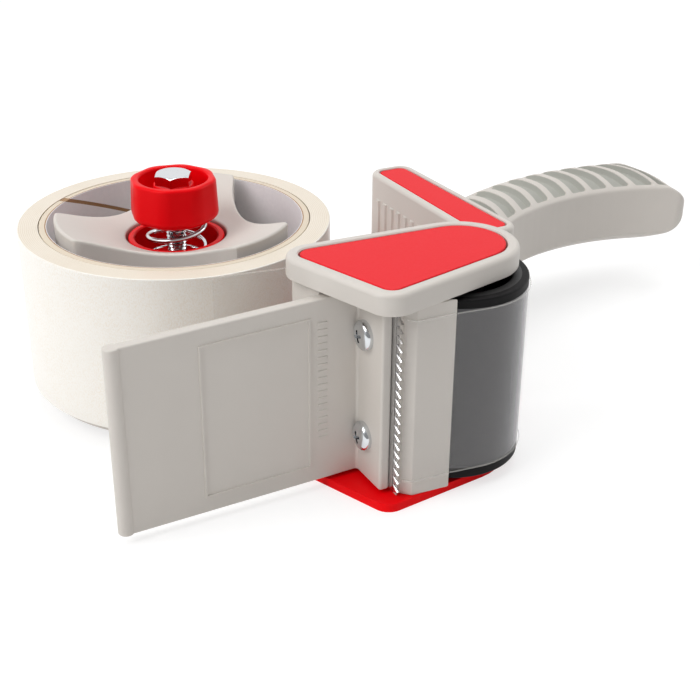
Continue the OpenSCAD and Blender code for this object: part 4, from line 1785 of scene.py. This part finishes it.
@dataclass
class Roller:
    """Rubber applicator roller on its drum and bushes."""

    radius: float = ROLLER_RADIUS
    sleeve: float = 2.0
    low: float = 3.6
    high: float = 57.5
    edge: float = 0.6
    track: float = 0.3
    track_z: Point = TAPE_Z
    steps: int = 128

    def build(self) -> None:
        """Builds and dresses the pieces."""
        seat = self.radius - self.track
        low, high = self.track_z
        outer = [(self.radius - inset, z) for inset, z in soft_bottom(self.low, self.edge)]
        outer += [(self.radius, low), (seat, low), (seat, high), (self.radius, high)]
        outer += [(self.radius - inset, z) for inset, z in soft_top(self.high, self.edge)]
        bore = self.radius - self.sleeve
        profile = [*outer, (bore, self.high), (bore, self.low)]
        sleeve = Shell()
        sleeve.turned((0, 0), lambda _: profile, self.steps)
        make("rubber_sleeve", sleeve, RUBBER, Body.ROLLER, Slot.RUBBER, "roller_sleeve")
        inner, bottom, top = seat + HAIR, low + HAIR, high - HAIR
        band = [(inner, bottom), (self.radius, bottom), (self.radius, top), (inner, top)]
        track = Shell()
        track.turned((0, 0), lambda _: band, self.steps)
        make("rubber_track", track, TRACK_RUBBER, Body.ROLLER, Slot.RUBBER, "roller_sleeve")
        dress(BLACK_PA, "roller_drum")
        dress(ACETAL, "roller_bushes")
        dress(ZINC, "roller_axle", "cover_screws")


@dataclass
class TapeRoll:
    """Tape roll on its card tube, and the strip that runs round the roller to the blade."""

    head: Head
    centre: Point = ROLL_AXIS
    bore: float = CORE_BORE
    tube: float = 40.5
    radius: float = ROLL_RADIUS
    low: float = TAPE_Z[0]
    high: float = TAPE_Z[1]
    edge: float = 0.35
    strip: float = 0.3
    gap: float = 0.35
    over: float = 0.25
    tail: float = 0.8
    groove: float = 0.25
    cut: float = 0.3
    steps: int = 160
    turn_steps: int = 96

    def build(self) -> None:
        """Builds and dresses the pieces."""
        wound = Shell()
        profile = self.ring(self.tube, self.radius, self.edge)
        wound.turned(self.centre, lambda _: profile, self.steps)
        make("wound_tape", wound, WOUND, Body.ROLL, Slot.WOUND, "tape_wound")
        core = Shell()
        tube = self.ring(self.bore, self.tube - self.groove, self.groove)
        core.turned(self.centre, lambda _: tube, self.steps)
        make("core_tube", core, PAPER, Body.ROLL, Slot.BOARD, "tape_core")
        outline = self.ribbon()
        ribbon = Shell()
        ribbon.stack(outline, [(0.0, self.low + self.cut), (0.0, self.high - self.cut)])
        make("tape_strip_film", ribbon, FILM, Body.FRAME, Slot.FILM, "tape_strip")
        edges = Shell()
        edges.stack(outline, [(0.0, self.low), (0.0, self.low + self.cut - HAIR)])
        edges.stack(outline, [(0.0, self.high - self.cut + HAIR), (0.0, self.high)])
        make("tape_strip_edges", edges, FILM_EDGE, Body.FRAME, Slot.FILM, "tape_strip")

    def ring(self, inner: float, outer: float, edge: float) -> list[Point]:
        """Profile of a tube with softened edges, from its lower inner edge round the outside."""
        points = [(inner, self.low)]
        points += [(outer - inset, z) for inset, z in soft_bottom(self.low, edge, 3)]
        points += [(outer - inset, z) for inset, z in soft_top(self.high, edge, 3)]
        return [*points, (inner, self.high)]

    def route(self) -> list[Point]:
        """Middle line of the strip: off the roll, round the roller and over the guide to the blade."""
        lift = self.gap + self.strip / 2
        near, far = ROLLER_RADIUS + lift, self.radius + lift
        x, y = self.centre
        on = math.atan2(y, x) - math.acos((near + far) / math.hypot(x, y))
        start = (x - far * math.cos(on), y - far * math.sin(on))
        end, nose, chamfer = (Vector(p) for p in (self.head.guide_end, self.head.nose, self.head.chamfer))
        tail = chamfer + self.tail * (nose - chamfer).normalized()
        edge = self.outside(2 * end - nose, end, nose)
        bend = self.outside(end, nose, tail)
        stop = self.outside(nose, tail, 2 * tail - nose)
        off = math.atan2(edge[1], edge[0]) + math.acos(near / math.hypot(*edge))
        turn = arc((0, 0), near, math.degrees(on), math.degrees(off), self.turn_steps)
        return [start, *turn, edge, bend, stop]

    def outside(self, before: Vector, corner: Vector, after: Vector) -> Point:
        """Moves a corner of the guide out to the strip's middle line, with a mitre."""
        into, out = (corner - before).normalized(), (after - corner).normalized()
        side = Vector((into.y + out.y, -into.x - out.x))
        moved = corner - side * (self.over / (1 + into.dot(out)))
        return moved.x, moved.y

    def ribbon(self) -> list[Point]:
        """Closed outline of the strip in plan."""
        path = [Vector(p) for p in self.route()]
        left, right = [], []
        for i, here in enumerate(path):
            into = (here - path[max(0, i - 1)]).normalized() if i else (path[1] - here).normalized()
            out = (path[i + 1] - here).normalized() if i < len(path) - 1 else into
            mean = (into + out).normalized()
            side = Vector((-mean.y, mean.x)) * (self.strip / 2 / mean.dot(into))
            left.append(tuple(here + side))
            right.append(tuple(here - side))
        return right + left[::-1]


@dataclass
class Hub:
    """Three-armed hub with a dished top, on the flange that the roll stands on."""

    centre: Point = ROLL_AXIS
    radius: float = 35.75
    waist: float = 21.5
    arms: int = 3
    arm_half: float = 20.0
    arm_turn: float = 56.5
    top: float = 57.8
    dish: float = 49.8
    hole: float = 15.1
    floor: float = 38.8
    bore: float = 7.05
    tube: float = 10.0
    seat: float = TAPE_Z[0]
    bottom: float = 3.1
    edge: float = 1.1
    corner_spread: int = 2
    corner_step: float = 0.6
    mouth_edge: float = 0.7
    mouth_gap: float = 0.05
    top_steps: int = 4
    flange: float = 44.0
    flange_edge: float = 0.4
    flange_low: float = 4.5
    steps: int = 240

    def outline(self, angle: float) -> float:
        """Radius of the arms' outline at an angle in radians, eased at the arms' corners."""
        offs = [self.corner_step * k for k in range(-self.corner_spread, self.corner_spread + 1)]
        window = [self.sharp_outline(angle + math.radians(off)) for off in offs]
        return sum(window) / len(window)

    def sharp_outline(self, angle: float) -> float:
        """Radius of the arms' outline at an angle in radians."""
        half = 180 / self.arms
        lean = math.cos(math.radians(half - self.arm_half))
        far = (self.radius**2 - self.waist**2) / (2 * (self.radius * lean - self.waist))
        scoop = far - self.waist
        reach = self.radius
        for k in range(self.arms):
            off = angle - math.radians(self.arm_turn + half + 2 * half * k)
            off = (off + math.pi) % math.tau - math.pi
            if abs(off) < math.pi / 2 and far * abs(math.sin(off)) < scoop:
                reach = min(reach, far * math.cos(off) - math.sqrt(scoop**2 - (far * math.sin(off)) ** 2))
        return reach

    def height(self, radius: float) -> float:
        """Height of the dished top at a radius."""
        share = (radius - self.hole) / (self.radius - self.hole)
        return self.dish + (self.top - self.dish) * share

    def profile(self, angle: float) -> list[Point]:
        """Section of the hub at an angle in radians."""
        reach = self.outline(angle)
        lip = self.height(reach)
        wall = []
        for inset, z in soft_top(lip, self.edge, 5):
            wall.append((reach - inset, z - (lip - self.height(reach - inset))))
        inner = self.hole + self.edge
        way = inner - reach + self.edge
        top = [reach - self.edge + way * k / self.top_steps for k in range(1, self.top_steps)]
        mouth = soft_top(self.height(inner), self.mouth_edge, 3)
        return [
            (reach, self.seat),
            *wall,
            *[(r, self.height(r)) for r in top],
            *[(self.hole + self.mouth_gap + inset, z) for inset, z in reversed(mouth)],
            (self.hole, self.floor),
            (self.bore, self.floor),
            (self.bore, self.bottom),
            (self.tube, self.bottom),
            (self.tube, self.seat),
        ]

    def build(self) -> None:
        """Builds and dresses the hub."""
        shell = Shell()
        shell.turned(self.centre, self.profile, self.steps)
        disc = [(self.tube, self.flange_low)]
        disc += [(self.flange - inset, z) for inset, z in soft_bottom(self.flange_low, self.flange_edge, 2)]
        disc += [(self.flange - inset, z) for inset, z in soft_top(self.seat, self.flange_edge, 2)]
        disc += [(self.tube, self.seat)]
        shell.turned(self.centre, lambda _: disc, self.steps)
        make("hub_moulding", shell, GREY_ABS, Body.ROLL, Slot.GREY, "hub", "hub_flange")


@dataclass
class Brake:
    """Brake of the hub: cup, spring, washer, knob and the screw through them."""

    centre: Point = ROLL_AXIS
    cup: float = 14.5
    cup_wall: float = 2.0
    cup_low: float = 39.1
    cup_high: float = 49.5
    cup_bore: float = 7.2
    cup_edge: float = 0.5
    cup_lip: float = 0.4
    spring: float = 8.7
    wire: float = 1.4
    turns: float = 3.4
    spring_turn: float = 223.0
    spring_z: Point = (41.1, 55.9)
    feed: float = 4.0
    knob: float = 13.2
    knob_turn: float = 10.0
    knob_soft: float = 7.0
    knob_sides: int = 8
    knob_draft: float = 0.4
    knob_edge: float = 0.9
    skirt: tuple[Point, ...] = ((2.2, 0.0), (1.0, 0.7), (0.2, 1.6), (0.0, 2.6))
    knob_low: float = 55.0
    knob_high: float = 67.7
    recess: float = 10.2
    recess_floor: float = 59.4
    recess_draft: float = 0.3
    recess_edge: float = 0.7
    post: float = 6.0
    post_high: float = 65.9
    post_edge: float = 0.3
    play: float = 0.1
    pocket: float = 10.7
    pocket_high: float = 57.0
    bolt: float = 3.0
    flats: float = 5.0
    head_low: float = 65.1
    head_high: float = 69.1
    head_sides: int = 6
    head_inset: float = 0.15
    bolt_tip: float = 12.5
    tip_edge: float = 0.4
    thread_z: Point = (41.5, 57.0)
    thread_pitch: float = 1.0
    thread_depth: float = 0.4
    chamfer_slope: float = 0.58
    steps: int = 96
    knob_steps: int = 192

    def build(self, coil: Coil) -> None:
        """Builds and dresses the pieces.

        Args:
            coil: Tree that winds the spring.
        """
        cup = Shell()
        inner = self.cup - self.cup_wall
        floor = self.cup_low + self.cup_wall
        wall = [(self.cup - inset, z) for inset, z in soft_top(self.cup_high, self.cup_edge, 3)]
        section = [
            (self.cup_bore, self.cup_low),
            (self.cup, self.cup_low),
            *wall,
            (inner + self.cup_lip, self.cup_high),
            (inner, self.cup_high - self.cup_lip),
            (inner, floor),
            (self.cup_bore, floor),
        ]
        cup.turned(self.centre, lambda _: section, self.steps)
        make("brake_cup_ring", cup, RED_ABS, Body.FRAME, Slot.RED, "brake_cup")

        spring = coil.wind(
            "brake_spring_coil",
            self.centre,
            self.spring,
            self.wire,
            self.turns,
            self.spring_turn,
            self.spring_z,
            ZINC,
        )
        settle(spring, Body.SLIDER, Slot.ZINC, "brake_spring", even=False)
        low, high = self.spring_z
        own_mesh(spring)

        knob = Shell()
        knob.turned(self.centre, self.knob_section, self.knob_steps)
        make("brake_knob_moulding", knob, RED_ABS, Body.KNOB, Slot.RED, "brake_knob")

        bolt = Shell()
        bolt.turned(self.centre, self.bolt_section, self.steps, Ends.CAPPED)
        make("brake_screw", bolt, ZINC, Body.KNOB, Slot.ZINC, "spindle_bolt")
        dress(ZINC, "thrust_washer")
        dress(BRASS, "spindle_insert")

    def head_side(self, angle: float) -> float:
        """Radius of the hexagon head at an angle in radians."""
        share = math.tau / self.head_sides
        return self.flats / math.cos(angle % share - share / 2)

    def knob_side(self, angle: float) -> float:
        """Radius of the rounded octagon at an angle in radians."""
        half = math.pi / self.knob_sides
        middle = self.knob - self.knob_soft
        off = (angle - math.radians(self.knob_turn) + half) % (2 * half) - half
        across = middle * math.cos(half) + self.knob_soft
        tangent = math.atan2(self.knob_soft * math.sin(half), middle + self.knob_soft * math.cos(half))
        if abs(off) > tangent:
            return across / math.cos(half - abs(off))
        return middle * math.cos(off) + math.sqrt(self.knob_soft**2 - (middle * math.sin(off)) ** 2)

    def knob_section(self, angle: float) -> list[Point]:
        """Section of the eight-sided knob at an angle in radians."""
        side = self.knob_side(angle)
        skirt = [(side - inset, self.knob_low + rise) for inset, rise in self.skirt]
        rim = soft_top(self.knob_high, self.knob_edge, 5)
        top = [(side - self.knob_draft - inset, z) for inset, z in rim]
        mouth = reversed(soft_top(self.knob_high, self.recess_edge, 4))
        lip = [(self.recess + inset, z) for inset, z in mouth]
        crown = [(self.post - inset, z) for inset, z in soft_top(self.post_high, self.post_edge, 3)]
        socket, hole = self.flats + self.play, self.bolt + self.play
        return [
            (self.pocket, self.knob_low),
            *skirt,
            *top,
            *lip,
            (self.recess - self.recess_draft, self.recess_floor),
            (self.post + self.recess_draft, self.recess_floor),
            *crown,
            (socket, self.post_high),
            (socket, self.head_low),
            (hole, self.head_low),
            (hole, self.pocket_high),
            (self.pocket, self.pocket_high),
        ]

    def bolt_section(self, angle: float) -> list[Point]:
        """Section of the hexagon-head screw at an angle in radians."""
        side = self.head_side(angle)
        face = self.flats - self.head_inset
        low, high = self.thread_z
        thread = []
        for k in range(int((high - low) / self.thread_pitch)):
            crest = low + k * self.thread_pitch
            thread += [(self.bolt, crest), (self.bolt - self.thread_depth, crest + self.thread_pitch / 2)]
        return [
            (self.bolt - self.tip_edge, self.bolt_tip),
            (self.bolt, self.bolt_tip + self.tip_edge),
            *thread,
            (self.bolt, high),
            (self.bolt, self.head_low),
            (side, self.head_low),
            (side, self.head_high - (side - face) * self.chamfer_slope),
            (face, self.head_high),
        ]


@dataclass
class Base:
    """Red side plate with its countersunk screws."""

    screws: list[Point] = field(
        default_factory=lambda: [(-33.0, 9.5), (-21.0, -13.0), (28.0, 29.5), (25.9, 73.0)]
    )
    head: float = 3.0
    shank: float = 1.5
    high: float = 1.5
    sink: float = 0.05
    edge: float = 0.1
    recess: Point3 = (1.2, 1.7, 0.8)

    def build(self, row: Row) -> None:
        """Builds and dresses the pieces.

        Args:
            row: Tree that lays rows.
        """
        # The side plate's lighter red is painted light, standing in for the light it lacks in the head's
        # shade
        dress(PLATE_RED_PAINTED_LIGHT, "base_plate")

        def head(_: float) -> list[Point]:
            """Profile of a countersunk head."""
            return [(self.shank, -self.high), (self.head, -self.edge), (self.head - self.edge, 0.0)]

        # The screws lie in two pairs, and each pair is a row of two
        for name, (first, second) in {
            "block_screw_heads": self.screws[:2],
            "grip_screw_heads": self.screws[2:],
        }.items():
            screw = cross_screw(head, *self.recess)
            screw.transform(Matrix.Rotation(math.pi, 4, "X"))
            step = (second[0] - first[0], second[1] - first[1], 0.0)
            pair = row.lay(name, screw, 2, (first[0], first[1], self.sink), step, ZINC)
            settle(pair, Body.FRAME, Slot.ZINC, "frame_screws", even=False)


# Studio


@dataclass(frozen=True)
class Lamp:
    """Soft rectangular lamp that points at the object."""

    name: str
    place: Point3
    target: Point3
    size: Point
    power: float
    colour: str

    def hang(self) -> None:
        """Adds the lamp to the scene."""
        data = bpy.data.lights.new(self.name, "AREA")
        data.shape = "RECTANGLE"
        data.size, data.size_y = self.size
        data.energy = self.power
        data.color = linear(self.colour)[:3]
        lamp = bpy.data.objects.new(self.name, data)
        lamp.location = self.place
        aim = Vector(self.target) - Vector(self.place)
        lamp.rotation_euler = aim.to_track_quat("-Z", "Y").to_euler()
        bpy.context.scene.collection.objects.link(lamp)


@dataclass
class Studio:
    """Plain pale floor, soft light and the photograph's camera."""

    camera_place: Point3 = (-0.1730, -0.2600, 0.1911)
    heading: Point = (0.477, 0.879)
    pitch: float = 26.975
    roll: float = 0.52
    focal_pixels: float = 1255.18
    floor_size: float = 6.0
    floor_colour: str = "#F4F4F4"
    floor_shown: float = 0.42
    floor_glow: float = 0.68
    world_strength: float = 0.38
    front_wall: float = 0.3
    front_span: Point = (0.1, 0.8)
    clip: float = 0.01
    lamps: list[Lamp] = field(
        default_factory=lambda: [
            Lamp("key_from_left", (-0.85, 0.0, 0.8), (0.0, 0.04, 0.03), (0.7, 0.7), 6.9, "#FFFFFF"),
            Lamp("top_light", (0.15, 0.25, 1.2), (0.02, 0.04, 0.03), (0.9, 0.9), 5.5, "#FFFFFF"),
            Lamp("strip_from_right", (0.8, 0.1, 0.4), (0.0, 0.0, 0.03), (0.25, 0.8), 1.0, "#FFFFFF"),
        ]
    )

    def build(self) -> None:
        """Builds floor, light and camera."""
        self.lay_floor()
        self.light_world()
        for lamp in self.lamps:
            lamp.hang()
        self.place_camera()
        bpy.context.scene.view_settings.view_transform = "Standard"

    def seen_directly(self, tree: bpy.types.NodeTree) -> bpy.types.NodeSocket:
        """Adds a factor that is one for what the eye sees directly, in gloss or through glass.

        Args:
            tree: Tree that gets the nodes.

        Returns:
            The factor's socket.
        """
        path = add_node(tree, "ShaderNodeLightPath")
        either = add_node(
            tree,
            "ShaderNodeMath",
            {"operation": "MAXIMUM"},
            {0: path.outputs["Is Camera Ray"], 1: path.outputs["Is Glossy Ray"]},
        )
        seen = add_node(
            tree,
            "ShaderNodeMath",
            {"operation": "MAXIMUM"},
            {0: either.outputs["Value"], 1: path.outputs["Is Transmission Ray"]},
        )
        return seen.outputs["Value"]

    def lay_floor(self) -> None:
        """Lays the floor: white to the eye, with the object's soft shadow on it."""
        half = self.floor_size / 2
        mesh = bpy.data.meshes.new("studio_floor")
        mesh.from_pydata([(x, y, 0) for x, y in rectangle(half, half)], [], [[0, 1, 2, 3]])
        floor = add_object("studio_floor", mesh)
        material = bpy.data.materials.new("white_floor_paper")
        material.use_nodes = True
        tree = material.node_tree
        tree.nodes.clear()
        plain = add_node(tree, "ShaderNodeBsdfDiffuse", {"Color": linear(self.floor_colour)})
        soft = add_node(tree, "ShaderNodeBsdfDiffuse", {"Color": (*[self.floor_shown] * 3, 1.0)})
        glow = add_node(tree, "ShaderNodeEmission", {"Color": WHITE, "Strength": self.floor_glow})
        bright = add_node(
            tree, "ShaderNodeAddShader", links={0: soft.outputs["BSDF"], 1: glow.outputs["Emission"]}
        )
        shown = add_node(
            tree,
            "ShaderNodeMixShader",
            links={0: self.seen_directly(tree), 1: plain.outputs["BSDF"], 2: bright.outputs["Shader"]},
        )
        add_node(tree, "ShaderNodeOutputMaterial", links={"Surface": shown.outputs["Shader"]})
        mesh.materials.append(material)

    def light_world(self) -> None:
        """Lights the object from all sides, with white behind the floor."""
        world = bpy.data.worlds.new("studio_white")
        bpy.context.scene.world = world
        world.use_nodes = True
        tree = world.node_tree
        tree.nodes.clear()
        fill = add_node(
            tree, "ShaderNodeBackground", {"Color": WHITE, "Strength": self.world_strength}
        )
        white = add_node(tree, "ShaderNodeBackground", {"Color": WHITE, "Strength": 1.0})
        shown = add_node(
            tree,
            "ShaderNodeMixShader",
            links={
                0: self.seen_directly(tree),
                1: fill.outputs["Background"],
                2: white.outputs["Background"],
            },
        )
        # In gloss the open front of the studio is dimmer than its white walls and ceiling
        place = add_node(tree, "ShaderNodeTexCoord")
        front = add_node(
            tree,
            "ShaderNodeVectorMath",
            {"operation": "DOT_PRODUCT", 1: (-self.heading[0], -self.heading[1], 0.0)},
            {0: place.outputs["Generated"]},
        )
        level = add_node(
            tree,
            "ShaderNodeMapRange",
            {
                "From Min": self.front_span[0],
                "From Max": self.front_span[1],
                "To Min": 1.0,
                "To Max": self.front_wall,
            },
            {"Value": front.outputs["Value"]},
        )
        room = add_node(
            tree,
            "ShaderNodeBackground",
            {"Color": WHITE},
            {"Strength": level.outputs["Result"]},
        )
        path = add_node(tree, "ShaderNodeLightPath")
        around = add_node(
            tree,
            "ShaderNodeMixShader",
            links={
                0: path.outputs["Is Glossy Ray"],
                1: shown.outputs["Shader"],
                2: room.outputs["Background"],
            },
        )
        add_node(tree, "ShaderNodeOutputWorld", links={"Surface": around.outputs["Shader"]})

    def place_camera(self) -> None:
        """Sets the camera at the photograph's angle."""
        down = math.radians(self.pitch)
        level = Vector((*self.heading, 0.0)).normalized()
        look = level * math.cos(down) + Vector((0, 0, -math.sin(down)))
        right = look.cross(Vector((0, 0, 1))).normalized()
        up = right.cross(look)
        turn = math.radians(self.roll)
        tilted = right * math.cos(turn) + up * math.sin(turn)
        upright = tilted.cross(look)
        axes = Matrix((tilted, upright, -look)).transposed().to_4x4()
        data = bpy.data.cameras.new("photo_camera")
        data.sensor_width = SENSOR
        data.lens = self.focal_pixels / IMAGE_WIDTH * SENSOR
        data.clip_start = self.clip
        camera = bpy.data.objects.new("photo_camera", data)
        camera.matrix_world = Matrix.Translation(self.camera_place) @ axes
        bpy.context.scene.collection.objects.link(camera)
        bpy.context.scene.camera = camera


def main() -> None:
    """Builds the sub-assemblies in order, then the studio."""
    logging.basicConfig(level=logging.INFO, format="%(message)s")
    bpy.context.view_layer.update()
    row = Row()
    coil = Coil()
    Base().build(row)
    head = Head()
    head.build()
    Wiper().build(row)
    Grip().build()
    Roller().build()
    TapeRoll(head).build()
    Hub().build()
    Brake().build(coil)
    Studio().build()


if __name__ == "__main__":
    main()
